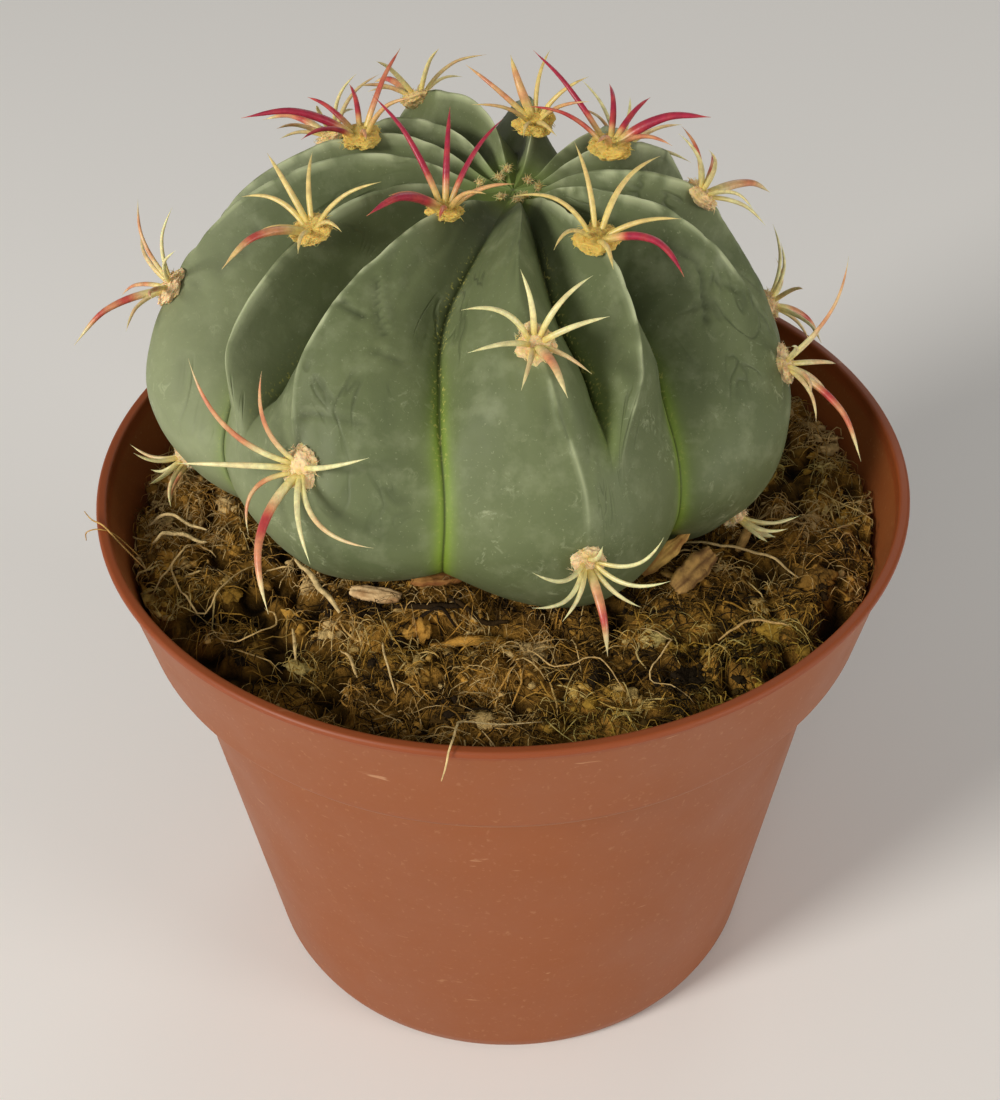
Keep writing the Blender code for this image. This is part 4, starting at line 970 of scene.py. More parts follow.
def peat_finish(settings):
    """Dark crumbly peat under the fibres, with painted shade in its crevices."""
    made = Finish("soil_peat", {"Roughness": 1.0, "Specular IOR Level": 0.1})
    clods = made.noise(scale=230, detail=6, roughness=0.7, distortion=1.5)
    colour = made.ramp(clods, (0.3, toned(settings.peat, 0.8)), (0.46, toned(settings.golden, 0.3)),
                       (0.6, toned(settings.golden, 0.7)), (0.72, settings.golden))
    # Painted shade: the peat darkens with the depth of its crevices.
    made.set("Base Color", made.tint(colour, made.mark("deep"), toned(settings.peat, 0.35)))
    made.bump(made.noise(scale=700, detail=5, roughness=0.7), strength=1.0, distance=0.0008)
    return made.material


def fibre_finish(settings):
    """Fibres whose colour runs from dark peat through gold to straw by their mark of tone."""
    made = Finish("peat_fibre", {"Roughness": 0.85, "Specular IOR Level": 0.15})
    colour = made.ramp(made.mark("tone"), (0.0, settings.peat), (0.35, toned(settings.golden, 0.3)),
                       (0.62, settings.golden), (1.0, settings.straw))
    mossy = made.mix(1.0, colour, (0.78, 1.0, 0.6), "MULTIPLY")
    colour = made.tint(colour, made.mark("olive"), mossy)
    soiled = made.ramp(made.noise(scale=900, detail=3), (0.3, 0.55), (0.65, 1.0))
    made.set("Base Color", made.mix(soiled, toned(settings.peat, 0.9), colour))
    made.bump(made.noise(scale=1300, detail=4, roughness=0.7), strength=0.9, distance=0.0005)
    return made.material


def stem_finish(settings):
    """Waxy grey-green skin: mottling, pale scars, painted shade in creases, fold lines and groove bottoms
    with a glow beside, painted light on the left and low skin, and pale crests that are partly worn and
    partly a painted highlight.
    """
    made = Finish("stem_green", {"Subsurface Weight": 0.05, "Subsurface Scale": 0.002,
                                 "Subsurface Radius": (0.6, 1.0, 0.3), "Specular IOR Level": 0.28})
    low = made.mark("low")
    # A darker copy of the shade colour, painted into the creases and fine fold lines as painted shade.
    dark = toned(settings.shade, 0.5)
    colour = made.mix(made.patches((0.36, 0.64), scale=45, detail=5, roughness=0.6), settings.shade,
                      settings.skin)
    # Painted light: the low skin is made a little lighter.
    colour = made.tint(colour, low, toned(settings.skin, 1.25), 0.12)
    clouds = made.patches((0.5, 0.72), scale=240, detail=4, roughness=0.6)
    colour = made.tint(colour, clouds, settings.bloom_and_light, 0.24)
    # Painted shade along the creases.
    colour = made.tint(colour, made.mark("crease"), dark, 0.8)
    fields = made.patches((0.48, 0.62), scale=130, detail=2)
    scars = made.patches((0.56, 0.64), scale=620, detail=6, roughness=0.72, distortion=0.6)
    scars = made.math("MULTIPLY", made.math("MULTIPLY", scars, fields), low)
    colour = made.tint(colour, scars, settings.bloom_and_light, 0.6)
    skin_spot = made.unrolled()
    # Fine fold lines along the ribs, darkened with painted shade.
    shaded_folds = made.ramp(made.noise(scale=0.26, detail=2, roughness=0.5, distortion=0.9,
                                 stretch=(1.0, 0.32, 1.0), spot=skin_spot),
                      (0.455, 0.0), (0.5, 1.0), (0.545, 0.0))
    folded = made.patches((0.53, 0.6), scale=0.1, detail=2, roughness=0.5, stretch=(1.0, 0.6, 1.0),
                          spot=skin_spot)
    shaded_folds = made.math("MULTIPLY", made.math("MULTIPLY", shaded_folds, folded), made.mark("wrinkled"))
    colour = made.tint(colour, shaded_folds, dark, 0.5)
    colour = made.tint(colour, made.patches((0.66, 0.74), scale=2400, detail=2), settings.bloom_and_light, 0.3)
    # Painted light on the stem's left side.
    colour = made.tint(colour, made.mark("pale"), settings.bloom_and_light, 0.4)
    # Pale crests: wear and a painted highlight along the sharp edges.
    colour = made.tint(colour, made.mark("crest_wear_and_highlight"), toned(settings.bloom_and_light, 1.25))
    colour = made.tint(colour, made.mark("groove_glow"), settings.groove)
    # Painted shade: a dark line along the bottom of each groove.
    colour = made.tint(colour, made.mark("groove_shade"), toned(settings.groove, 0.12))
    beads = made.patches((0.6, 0.66), 0.9, scale=2300, detail=1)
    colour = made.tint(colour, made.math("MULTIPLY", beads, made.mark("groove_edge")), settings.bead)
    made.set("Base Color", made.tint(colour, made.mark("tip"), settings.groove, 0.45))
    made.set("Roughness", made.ramp(made.noise(scale=140, detail=3), (0.3, 0.5), (0.7, 0.64)))
    made.bump(made.noise(scale=1500, detail=3), strength=0.12, distance=0.00012)
    made.bump(made.noise(scale=260, detail=4), strength=0.16, distance=0.0004)
    made.bump(scars, strength=0.25, distance=0.00015)
    made.bump(made.math("SUBTRACT", 1.0, shaded_folds), strength=0.5, distance=0.00025)
    return made.material


def spine_finish(name, settings):
    """Horn-like spines, cream at the root and tip and flushed red between, faintly ringed."""
    made = Finish(name, {"Roughness": 0.36, "Subsurface Weight": 0.12, "Subsurface Scale": 0.0008})
    plain = made.mix(made.mark("old"), settings.gold, settings.cream)
    pale = made.mix(made.math("DIVIDE", made.mark("along"), 3.5), settings.root, plain)
    flush = made.ramp(made.mark("red"), (0.0, settings.blush), (0.4, settings.blush),
                      (0.65, settings.scarlet), (0.85, settings.crimson))
    colour = made.tint(pale, made.ramp(made.mark("red"), (0.0, 0.0), (0.4, 1.0)), flush)
    streaks = made.ramp(made.noise(scale=1500, detail=3), (0.35, 0.8), (0.65, 1.05))
    made.set("Base Color", made.mix(1.0, colour, streaks, "MULTIPLY"))
    rings = made.math("SINE", made.math("MULTIPLY", made.mark("along"), 2 * math.pi / RING_SPACING))
    made.bump(rings, strength=0.08, distance=0.00004)
    return made.material


def wool_finish(settings):
    """Felted wool of the areoles, ochre in the middle and paler at the tips of its hairs, with painted
    shade in the felt's hollows and painted light on its lumps.
    """
    made = Finish("areole_wool", {"Roughness": 0.95, "Sheen Weight": 0.12, "Specular IOR Level": 0.15,
                                  "Subsurface Weight": 0.35, "Subsurface Scale": 0.0006})
    colour = made.mix(made.mark("old"), settings.mustard, settings.wool)
    colour = made.tint(colour, made.patches((0.5, 0.64), scale=900, detail=3), settings.root, 0.5)
    # Painted shade and light on the felt by its mark of tone; each hair keeps its own tone.
    light = made.ramp(made.mark("tone"), (0.0, 0.55), (0.45, 0.9), (1.0, 1.1))
    made.set("Base Color", made.mix(1.0, colour, light, "MULTIPLY"))
    made.bump(made.noise(scale=2600, detail=4), strength=0.6, distance=0.0003)
    return made.material


def bark_finish(name, light, dark):
    """Flaky bark with bands along the grain."""
    made = Finish(name, {"Roughness": 0.82})
    flakes = made.noise(scale=420, detail=5, roughness=0.65)
    colour = made.ramp(flakes, (0.3, dark), (0.55, light), (0.75, toned(light, 1.25)))
    made.set("Base Color", made.tint(colour, made.mark("grain"), dark))
    made.bump(made.noise(scale=900, detail=4), strength=0.7, distance=0.0004)
    return made.material


# Pot

def rounded(profile, radius, steps=CORNER_STEPS):
    """A (radius, height) profile with each inner corner turned into a small arc."""
    profile = [np.array(p, float) for p in profile]
    found = [profile[0]]
    for before, corner, after in zip(profile, profile[1:], profile[2:]):
        cut = min(radius, 0.4 * np.linalg.norm(before - corner), 0.4 * np.linalg.norm(after - corner))
        start = corner + unit(before - corner) * cut
        stop = corner + unit(after - corner) * cut
        for step in range(steps + 1):
            u = step / steps
            found.append(start * (1 - u) ** 2 + corner * 2 * u * (1 - u) + stop * u * u)
    found.append(profile[-1])
    return np.array(found)


def pot_profile():
    """The shell's section, from the middle of its inner floor over the rim to the middle of its base."""
    step = COLLAR_FOOT_RADIUS - BODY_TOP_RADIUS
    foot = POT_HEIGHT - COLLAR_DEPTH
    inner = [
        (0.0, WALL), (CHANNEL_INNER - 0.5 * MM, WALL),
        (CHANNEL_INNER + 1.0 * MM, CHANNEL_RISE + WALL),
        (CHANNEL_OUTER + 0.5 * MM, CHANNEL_RISE + WALL), (CHANNEL_OUTER + 2.0 * MM, WALL),
        (BASE_RADIUS - 2.2 * MM, WALL), (BASE_RADIUS - WALL, BASE_EDGE + 1.2 * MM),
        (BODY_TOP_RADIUS - WALL, foot - 2.2 * MM), (COLLAR_FOOT_RADIUS - WALL - 1.0 * MM, foot + 0.2 * MM),
        (COLLAR_FOOT_RADIUS - WALL + 0.1 * MM, foot + 1.2 * MM),
        (RIM_RADIUS - RIM_LIP, POT_HEIGHT - 1.2 * MM), (RIM_RADIUS - RIM_LIP + 0.1 * MM, POT_HEIGHT),
    ]
    outer = [
        (RIM_RADIUS - 0.3 * MM, POT_HEIGHT), (RIM_RADIUS, POT_HEIGHT - 0.3 * MM),
        (RIM_RADIUS, POT_HEIGHT - RIM_FACE), (RIM_RADIUS - 0.7 * MM, POT_HEIGHT - RIM_FACE - 0.3 * MM),
        (COLLAR_FOOT_RADIUS + 0.15 * MM, foot + 0.8 * MM), (COLLAR_FOOT_RADIUS - 0.6 * MM, foot - 0.2 * MM),
        (BODY_TOP_RADIUS + 0.25 * step, foot - 1.3 * MM), (BODY_TOP_RADIUS - 0.05 * MM, foot - 2.6 * MM),
        (BASE_RADIUS + 0.2 * MM, BASE_EDGE + 0.5 * MM), (BASE_RADIUS - 0.5 * MM, BASE_EDGE * 0.35),
        (BASE_RADIUS - 1.8 * MM, 0.0), (CHANNEL_OUTER + CHANNEL_SLOPE, 0.0),
        (CHANNEL_OUTER, CHANNEL_RISE), (CHANNEL_INNER + CHANNEL_SLOPE, CHANNEL_RISE),
        (CHANNEL_INNER, 0.0), (0.0, 0.0),
    ]
    return rounded(inner + outer, 0.45 * MM)


def cut_drain_holes(pot):
    """Drills the ring of drain holes through the channel in the base."""
    bm = bmesh.new()
    for k in range(DRAIN_HOLES):
        angle = 2 * math.pi * (k + 0.5) / DRAIN_HOLES
        middle = (CHANNEL_INNER + CHANNEL_SLOPE + CHANNEL_OUTER) / 2
        spot = Matrix.Translation((middle * math.cos(angle), middle * math.sin(angle), CHANNEL_RISE))
        bmesh.ops.create_cone(bm, cap_ends=True, segments=DRAIN_HOLE_SIDES, radius1=DRAIN_HOLE_RADIUS,
                              radius2=DRAIN_HOLE_RADIUS, depth=6 * WALL, matrix=spot)
    mesh = bpy.data.meshes.new("drain_holes")
    bm.to_mesh(mesh)
    bm.free()
    drill = add_object("drain_holes", mesh)
    cut = pot.modifiers.new("cut", "BOOLEAN")
    cut.operation = "DIFFERENCE"
    cut.object = drill
    graph = bpy.context.evaluated_depsgraph_get()
    pot.data = bpy.data.meshes.new_from_object(pot.evaluated_get(graph))
    pot.modifiers.clear()
    bpy.data.objects.remove(drill)
    pot.data.set_sharp_from_angle(angle=math.radians(50))


def make_pot(settings):
    """The turned shell of the pot with its drain holes."""
    profile = pot_profile()
    angles = -2 * np.pi * np.arange(settings.steps) / settings.steps
    radius, height = profile[1:-1, 0], profile[1:-1, 1]
    rings = np.stack([radius[:, None] * np.cos(angles), radius[:, None] * np.sin(angles),
                      np.repeat(height[:, None], len(angles), axis=1)], -1)
    points, faces = closed_skin(rings, (0, 0, profile[0, 1]), (0, 0, profile[-1, 1]))
    mesh = mesh_from("nursery_pot", points, faces)
    pot = place("nursery_pot", mesh, pot_finish(settings), "pot_plastic", "pot")
    cut_drain_holes(pot)


# Soil

def wall_radius(height):
    """Inner radius of the pot at a height."""
    foot = POT_HEIGHT - COLLAR_DEPTH
    heights = (BASE_EDGE + 1.2 * MM, foot - 2.2 * MM, foot + 1.2 * MM, POT_HEIGHT)
    radii = (BASE_RADIUS - WALL, BODY_TOP_RADIUS - WALL, COLLAR_FOOT_RADIUS - WALL + 0.1 * MM,
             RIM_RADIUS - RIM_LIP)
    return np.interp(height, heights, radii)


SOIL_EDGE = float(wall_radius(SOIL_LEVEL - SOIL_EDGE_DROP - SOIL_LUMP)) - CLEARANCE


@functools.cache
def soil_grid():
    """Heights of the soil on a square grid, as rows along x: the clods, and with their crevices."""
    steps = int(round(2 * SOIL_GRID_HALF / SOIL_GRID_STEP)) + 1
    line = np.linspace(-SOIL_GRID_HALF, SOIL_GRID_HALF, steps)
    x, y = (side.ravel() for side in np.meshgrid(line, line, indexing="ij"))
    flat = np.stack([x, y, np.zeros(len(x))], -1)
    lower, finer, shift = FINER_LUMPS
    height = SOIL_LUMP * np.array([
        noise.noise(Vector(p)) + lower * noise.noise(Vector(p) * finer + Vector(shift))
        for p in flat / SOIL_LUMP_SIZE])
    clods = sum(tall * lumps(flat, size, 3.0) for tall, size in SOIL_CLODS)
    crevices = CREVICE_DEPTH * bell(lumps(flat, CREVICE_SIZE, 8.0), CREVICE_WIDTH)
    for _, spot, _, seat, _, _ in CHIPS:
        away = np.hypot(x - spot[0] * MM, y - spot[1] * MM)
        level = 1 - smoothstep(CHIP_SEAT, CHIP_SEAT * CHIP_SEAT_EDGE, away)
        height += (seat * MM - height) * level
        clods *= 1 - CHIP_SEAT_SMOOTH * level
        crevices *= 1 - level
    drop = SOIL_EDGE_DROP * smoothstep(SOIL_EDGE - SOIL_EDGE_WIDTH, SOIL_EDGE, np.hypot(x, y))
    top = (SOIL_LEVEL + height + clods - drop).reshape(steps, steps)
    return top, top - crevices.reshape(steps, steps)


def soil_at(x, y, crevices=False):
    """Height of the soil at places, read between the points of its grid."""
    grid = soil_grid()[int(crevices)]
    u = np.clip((np.asarray(x) + SOIL_GRID_HALF) / SOIL_GRID_STEP, 0, len(grid) - 1.001)
    v = np.clip((np.asarray(y) + SOIL_GRID_HALF) / SOIL_GRID_STEP, 0, len(grid) - 1.001)
    i, j = u.astype(int), v.astype(int)
    u, v = u - i, v - j
    return ((grid[i, j] * (1 - u) + grid[i + 1, j] * u) * (1 - v)
            + (grid[i, j + 1] * (1 - u) + grid[i + 1, j + 1] * u) * v)


def lip_reaches(turns):
    """The reach at which the skin comes down to the soil's level, for each turn."""
    reaches = np.linspace(*LIP_SEARCH, LIP_STEPS)
    heights = stem_points(np.asarray(turns)[:, None], reaches[None], SOCKET_GAP)[..., 2]
    return reaches[np.argmax(heights <= SOIL_LEVEL, axis=1)]


def make_soil(settings):
    """Peat that fills the pot, with a lumpy top that comes up to the plant's skin."""
    count = SOIL_COLUMNS_PER_RIB * len(RIBS)
    turns = np.arange(count)[::-1] / SOIL_COLUMNS_PER_RIB
    lips = lip_reaches(turns)
    rings = [stem_points(turns, lips + (ROOT_END - lips) * share, SOCKET_GAP) for share in SOCKET_RINGS]
    inner = stem_points(turns, lips, -TUCK)[:, :2]
    middle = MIDDLE[-1, 1:] * MM
    aim = unit(inner - middle)
    along = aim @ middle
    wall = middle + aim * (np.sqrt(along ** 2 - middle @ middle + SOIL_EDGE ** 2) - along)[:, None]
    deep = [np.zeros(count)] * len(SOCKET_RINGS)
    for share in np.linspace(0.0, 1.0, SOIL_RINGS):
        x, y = (inner + (wall - inner) * share).T
        rings.append(np.column_stack([x, y, soil_at(x, y, True)]))
        deep.append(soil_at(x, y) - soil_at(x, y, True))
    foot = POT_HEIGHT - COLLAR_DEPTH
    for height in (foot + 1.4 * MM, foot - 2.4 * MM, BASE_EDGE + 1.6 * MM):
        radius = float(wall_radius(height)) - CLEARANCE - (0.4 * MM if height > foot else 0.0)
        rings.append(np.column_stack([unit(wall) * radius, np.full(count, height)]))
        deep.append(np.zeros(count))
    root = stem_points(0.5, ROOT_END) - (0, 0, SOCKET_GAP)
    points, faces = closed_skin(np.array(rings), root, (0, 0, SOIL_FLOOR))
    # How deep each point lies in a crevice, which the peat's finish darkens as painted shade.
    marks = {"deep": np.append(np.concatenate(deep) / CREVICE_DEPTH, (0.0, 0.0))}
    place("peat", mesh_from("peat", points, faces, marks), peat_finish(settings), "soil_peat", "soil")


@functools.cache
def plant_outline():
    """(angle, distance) of the plant's foot round the middle of its root, sorted by angle."""
    turns = np.arange(OUTLINE_STEPS * len(RIBS)) / OUTLINE_STEPS
    foot = stem_points(turns, lip_reaches(turns))[:, :2] - MIDDLE[-1, 1:] * MM
    angle = np.arctan2(foot[:, 1], foot[:, 0])
    order = np.argsort(angle)
    return angle[order], np.linalg.norm(foot, axis=1)[order]


def from_plant(x, y):
    """How far places lie outside the plant's foot."""
    x, y = x - MIDDLE[-1, 1] * MM, y - MIDDLE[-1, 2] * MM
    angles, distances = plant_outline()
    return np.hypot(x, y) - np.interp(np.arctan2(y, x), angles, distances, period=2 * np.pi)


def open_places(count, rng, margin=0.0):
    """Random places on the soil outside the plant and its crevices."""
    found = np.empty((0, 2))
    while len(found) < count:
        tries = rng.uniform(-SOIL_EDGE, SOIL_EDGE, (4 * count, 2))
        keep = (np.hypot(*tries.T) < SOIL_EDGE) & (from_plant(*tries.T) > margin)
        keep &= soil_at(*tries.T) - soil_at(*tries.T, True) < GAPS_KEPT * CREVICE_DEPTH
        found = np.concatenate([found, tries[keep]])
    return found[:count]


def inside_pot(paths):
    """Keeps points at the height of the soil off the pot's wall."""
    limit = wall_radius(paths[..., 2]) - CLEARANCE
    radius = np.hypot(paths[..., 0], paths[..., 1])
    squeeze = np.minimum(1.0, limit / np.maximum(radius, 1e-9))
    paths[..., :2] *= squeeze[..., None]
    return paths


def litter_marks(spots, tone, spread, each, rng):
    """Marks of tone and of mossiness for pieces of litter at places, repeated for their points. Two parts
    of the soil get painted light in their tone.
    """
    flat = np.column_stack([spots, np.zeros(len(spots))])
    shift = layered(flat, TONE_LUMPS)
    mossy = MOSS + layered(flat, MOSS_LUMPS)
    x, y = spots.T / MM
    # Patches of tone and moss; two of them are painted light on soil in shadow.
    for tone_and_painted_light, more_moss, over_x, over_y in LITTER_PATCHES_AND_PAINTED_LIGHT:
        there = smoothstep(*over_x, x) * smoothstep(*over_y, y)
        shift += tone_and_painted_light * there
        mossy += more_moss * there
    tones = np.clip(rng.normal(tone, spread, len(spots)) + shift, 0, PALEST_LITTER)
    return {"tone": np.repeat(tones, each), "olive": np.repeat(np.clip(mossy, 0, 1), each)}


def fibre_layer(name, count, sides, radius, lengths, rise, tone, seed, finish):
    """A layer of the mat: bent strands that lie on the clods in tufts with their ends tucked in."""
    rng = np.random.default_rng(seed)
    spots = open_places(count, rng)
    flat = np.column_stack([spots, np.zeros(count)])
    share = np.linspace(-0.5, 0.5, FIBRE_RINGS)
    heading = (TUFT_TURN * lumps(flat, TUFT_SIZE, 6.0)[:, None]
               + rng.normal(0, FIBRE_STRAYS, (count, 1)))
    bend = rng.normal(0, FIBRE_BEND, (count, 1)) * (1 + rng.random((count, 1)) ** 3)
    wave = rng.normal(0, FIBRE_WAVE, (count, 1)) * np.sin(2 * np.pi * share + rng.uniform(0, 6, (count, 1)))
    angle = heading + bend * share + wave
    size = (lengths[0] + (lengths[1] - lengths[0]) * rng.random((count, 1)) ** 2) * MM
    x = spots[:, :1] + np.cumsum(np.cos(angle), 1) * size / FIBRE_RINGS - np.cos(heading) * size / 2
    y = spots[:, 1:] + np.cumsum(np.sin(angle), 1) * size / FIBRE_RINGS - np.sin(heading) * size / 2
    arch = rng.uniform(0.1, 1.0, (count, 1)) ** 2 * rise * MM
    tilt = rng.normal(0, FIBRE_TILT, (count, 1)) * rise * MM
    out = np.abs(2 * share)
    z = soil_at(x, y) + arch * (1 - out ** 2) + tilt * share - FIBRE_TUCK * out ** 4
    paths = inside_pot(np.stack([x, y, z], -1))
    radii = rng.uniform(*FIBRE_THICKNESS, (count, 1)) * radius * (1 - FIBRE_THINNER * out ** 3)
    points, faces = tubes(paths, radii, sides)
    marks = litter_marks(spots, tone, FIBRE_SPREAD, FIBRE_RINGS * sides, rng)
    place(name, mesh_from(name, points, faces, marks), finish, "soil_peat")


def clod_layer(name, count, sizes, flatness, sink, tone, detail, seed, finish):
    """Loose bits of peat: lumpy flat crumbs, turned and tilted, half sunk between the fibres."""
    rng = np.random.default_rng(seed)
    round_points, shell = ball(detail)
    least, most = (size * MM for size in sizes)
    spots = open_places(count, rng, 0.8 * most)
    parts = []
    for x, y in spots:
        radius = least + (most - least) * rng.random() ** 2.5
        crumb = round_points.copy()
        for deep, size in CLOD_DENTS:
            crumb *= (1 + deep * lumps(round_points, size, rng.uniform(0, 90)))[:, None]
        crumb *= (radius, radius * rng.uniform(*CLOD_WIDTH), radius * rng.uniform(*flatness))
        turn = (Matrix.Rotation(rng.uniform(0, 6.3), 3, "Z")
                @ Matrix.Rotation(rng.normal(0, CLOD_TILT), 3, "X"))
        centre = (x, y, float(soil_at(x, y)) - sink * radius)
        parts.append((inside_pot(crumb @ np.array(turn).T + centre), [shell]))
    points, faces = joined(parts)
    marks = litter_marks(spots, tone, CLOD_SPREAD, len(round_points), rng)
    place(name, mesh_from(name, points, faces, marks), finish, "soil_peat")


def laid_strands(finish):
    """The straws, rootlets and slivers that are listed one by one, on the soil and over the rim, and
    near-black strands of painted shadow at the stem's foot.
    """
    paths, radii, tones = [], [], []
    for radius, tone, on_soil, line in LAID_STRANDS:
        line = smooth_path(np.array(line) * MM, 10)
        along = np.concatenate([[0.0], np.cumsum(np.linalg.norm(np.diff(line, axis=0), axis=1))])
        even = np.linspace(0, along[-1], LAID_RINGS)
        path = np.stack([np.interp(even, along, line[:, k]) for k in range(3)], -1)
        if on_soil:
            path[:, 2] += soil_at(path[:, 0], path[:, 1])
            path = inside_pot(path)
        paths.append(path)
        share = np.linspace(-1, 1, LAID_RINGS)
        radii.append(radius * MM * (1 - LAID_THINNER * np.abs(share) ** 3))
        tones.append(np.full(LAID_RINGS * LAID_SIDES, tone))
    points, faces = tubes(np.array(paths), np.array(radii), LAID_SIDES, flatness=LAID_FLATNESS)
    tones = np.concatenate(tones)
    marks = {"tone": tones, "olive": np.zeros(len(tones))}
    place("laid_strands", mesh_from("laid_strands", points, faces, marks), finish, "soil_peat")


# Stem

def stem_grid():
    """Turns and reaches of the stem's points: columns crowd at grooves and crests."""
    turns = []
    for half in range(2 * len(RIBS)):
        columns = WIDE_RIB_COLUMNS.get(RIBS[half // 2][0], HALF_RIB_COLUMNS)
        even = np.arange(columns) / columns
        crowded = (1 - np.cos(np.pi * even)) / 2
        turns.append((half + even + (crowded - even) * CREST_CROWDING) / 2)
    turns = np.concatenate(turns)[::-1]
    reaches = np.concatenate([np.linspace(0, ROOT_REACH, STEM_RINGS + 1)[1:],
                              np.linspace(ROOT_REACH, ROOT_END, ROOT_RINGS + 1)[1:-1]])
    return turns, reaches


def flank_distances(turns, reaches):
    """Distance in mm from the nearest groove and from the nearest crest, and that groove's number."""
    lines = knots(reaches)
    half = np.floor(2 * turns + 1e-6).astype(int)
    share = 2 * turns - half
    width = np.radians(lines[half + 1] - lines[half]).T * crest_outline(reaches)[0][:, :1]
    to_groove = np.where(half % 2 == 0, share, 1 - share) * width
    groove = np.broadcast_to(((half + 1) // 2) % len(RIBS), width.shape)
    return to_groove, width - to_groove, groove


def creases(points):
    """Depth in mm of the listed creases at points, and how near each point is to one."""
    depth, near = np.zeros(len(points)), np.zeros(len(points))
    for deep, line in CREASES:
        line = smooth_path(line, 10)
        spots = stem_points(line[:, 0], line[:, 1])
        away = np.linalg.norm(points[:, None] - spots, axis=2).min(axis=1) / MM
        cut = bell(away, CREASE_WIDTH)
        depth += CREASE_DEPTH * deep * (cut - CREASE_LIP * bell(away, CREASE_WIDTH * LIP_WIDTH))
        near = np.maximum(near, cut * min(2 * deep, 1.0))
    return depth, near


def wrinkles(reach, to_groove, groove):
    """Depth in mm of the fine wrinkles that run along the ribs."""
    across, along = WRINKLE_SIZE
    flat = np.stack([to_groove / across, reach / along, 3.7 * groove], -1).reshape(-1, 3)
    thin = bell(lumps(flat, 1.0, 4.0), WRINKLE_WIDTH).reshape(reach.shape)
    return WRINKLE_DEPTH * thin * between(*WRINKLE_REACHES, reach) * smoothstep(*WRINKLE_START, to_groove)


def swellings(turn, reach):
    """Height in mm of the swellings above and below each areole, less the dent that holds it."""
    swell = np.zeros(turn.shape)
    for rib, areole, _, _ in CLUSTERS:
        across = (turn - RIB_INDEX[rib] - 0.5) * ACROSS_TURN
        for height, below, wide, tall in SWELLINGS:
            swell += height * np.exp(-across ** 2 / wide - (reach - areole - below) ** 2 / tall)
    return swell


def groove_marks(reach, to_groove, groove):
    """How strong the dark line of painted shade, the glow and the specked edge of the grooves are."""
    lasts = np.isin(groove, [RIB_INDEX[start] for start, _ in BROAD_RIBS])
    kept = np.where(lasts, 1.0, 1 - smoothstep(*SHORT_RIBS_FADE, reach))
    core = CORE_STRENGTH * bell(to_groove, ramp(GROOVE_CORE, reach)) * smoothstep(*CORE_START, reach)
    glow = FAINT_GLOW * bell(to_groove, FAINT_GLOW_WIDTH) * smoothstep(*FAINT_GLOW_START, reach) * kept
    line = sum(strength * bell(to_groove, width) for strength, width in LINE_BANDS)
    for rib, (strength, starts, ends) in GROOVE_LINES.items():
        glow += (groove == RIB_INDEX[rib]) * line * strength * between(starts, ends, reach)
    fades, where = EDGE_FADES
    edge = bell(to_groove - EDGE_PLACE, EDGE_WIDTH) * smoothstep(*EDGE_START, reach)
    edge *= 1 - fades * smoothstep(*where, reach)
    return {"groove_shade": core * kept, "groove_glow": glow, "groove_edge": edge * kept}


def crest_wear_and_highlight(flat, turn, reach, to_crest):
    """How strong the pale line on the crests is: partly wear, partly a painted highlight on their sharp
    edges.
    """
    ends = np.array([CREST_LINE_ENDS.get(row[0], USUAL_LINE_ENDS) for row in RIBS])
    starts_fading, gone = ends[np.floor(turn).astype(int)].transpose(2, 0, 1)
    line = bell(to_crest, CREST_LINE_WIDTH) * between(CREST_LINE_START, (starts_fading, gone), reach)
    whole = smoothstep(*BREAK_EDGES, layered(flat, BREAK_LUMPS).reshape(reach.shape))
    fades, where = CREST_LINE_FADES
    return line * (IN_A_BREAK + (1 - IN_A_BREAK) * whole) * (1 - fades * smoothstep(*where, reach))


def make_stem(settings):
    """The ribbed stem with its soft relief and creases, and marks for the lines, stains, painted light and
    painted shade of its skin.
    """
    turns, reaches = stem_grid()
    turn, reach = np.meshgrid(turns, reaches)
    flat = stem_points(turn, reach).reshape(-1, 3)
    to_groove, to_crest, groove = flank_distances(turns, reaches)
    uneven = layered(flat, UNEVENNESS).reshape(turn.shape) * between(*UNEVEN_REACHES, reach)
    uneven *= smoothstep(*UNEVEN_START, to_groove)
    flat_top = (np.floor(turn) == RIB_INDEX[FLAT_TOPPED]) * (1 - smoothstep(*FLAT_TOP_ENDS, reach))
    ridge = RIDGE_HEIGHT * bell(to_crest, RIDGE_WIDTH) * between(*RIDGE_REACHES, reach) * (1 - flat_top)
    depth, crease = (values.reshape(turn.shape) for values in creases(flat))
    relief = swellings(turn, reach) + ridge - depth - wrinkles(reach, to_groove, groove)
    points = stem_points(turn, reach, uneven * settings.relief + relief * MM)
    # Painted light: the stem's left side is made paler.
    pale = smoothstep(*PAINTED_LIGHT_SIDE, -points[..., 0] / MM) * smoothstep(*PAINTED_LIGHT_REACHES, reach)
    marks = {**groove_marks(reach, to_groove, groove), "crease": crease, "pale": pale,
             "crest_wear_and_highlight": crest_wear_and_highlight(flat, turn, reach, to_crest) * (1 - flat_top),
             "across": ACROSS_RIB * turn, "along": reach, "wrinkled": between(*FOLDED_REACHES, reach),
             "low": smoothstep(*LOW_SKIN, reach), "tip": 1 - smoothstep(*TIP_ENDS, reach)}
    marks = {name: np.append(values.ravel(), (0.0, 0.0)) for name, values in marks.items()}
    points, faces = closed_skin(points, stem_points(0.5, 0.0), stem_points(0.5, ROOT_END))
    place("ribbed_stem", mesh_from("ribbed_stem", points, faces, marks), stem_finish(settings),
          "stem_green", "stem")


# Spines and wool

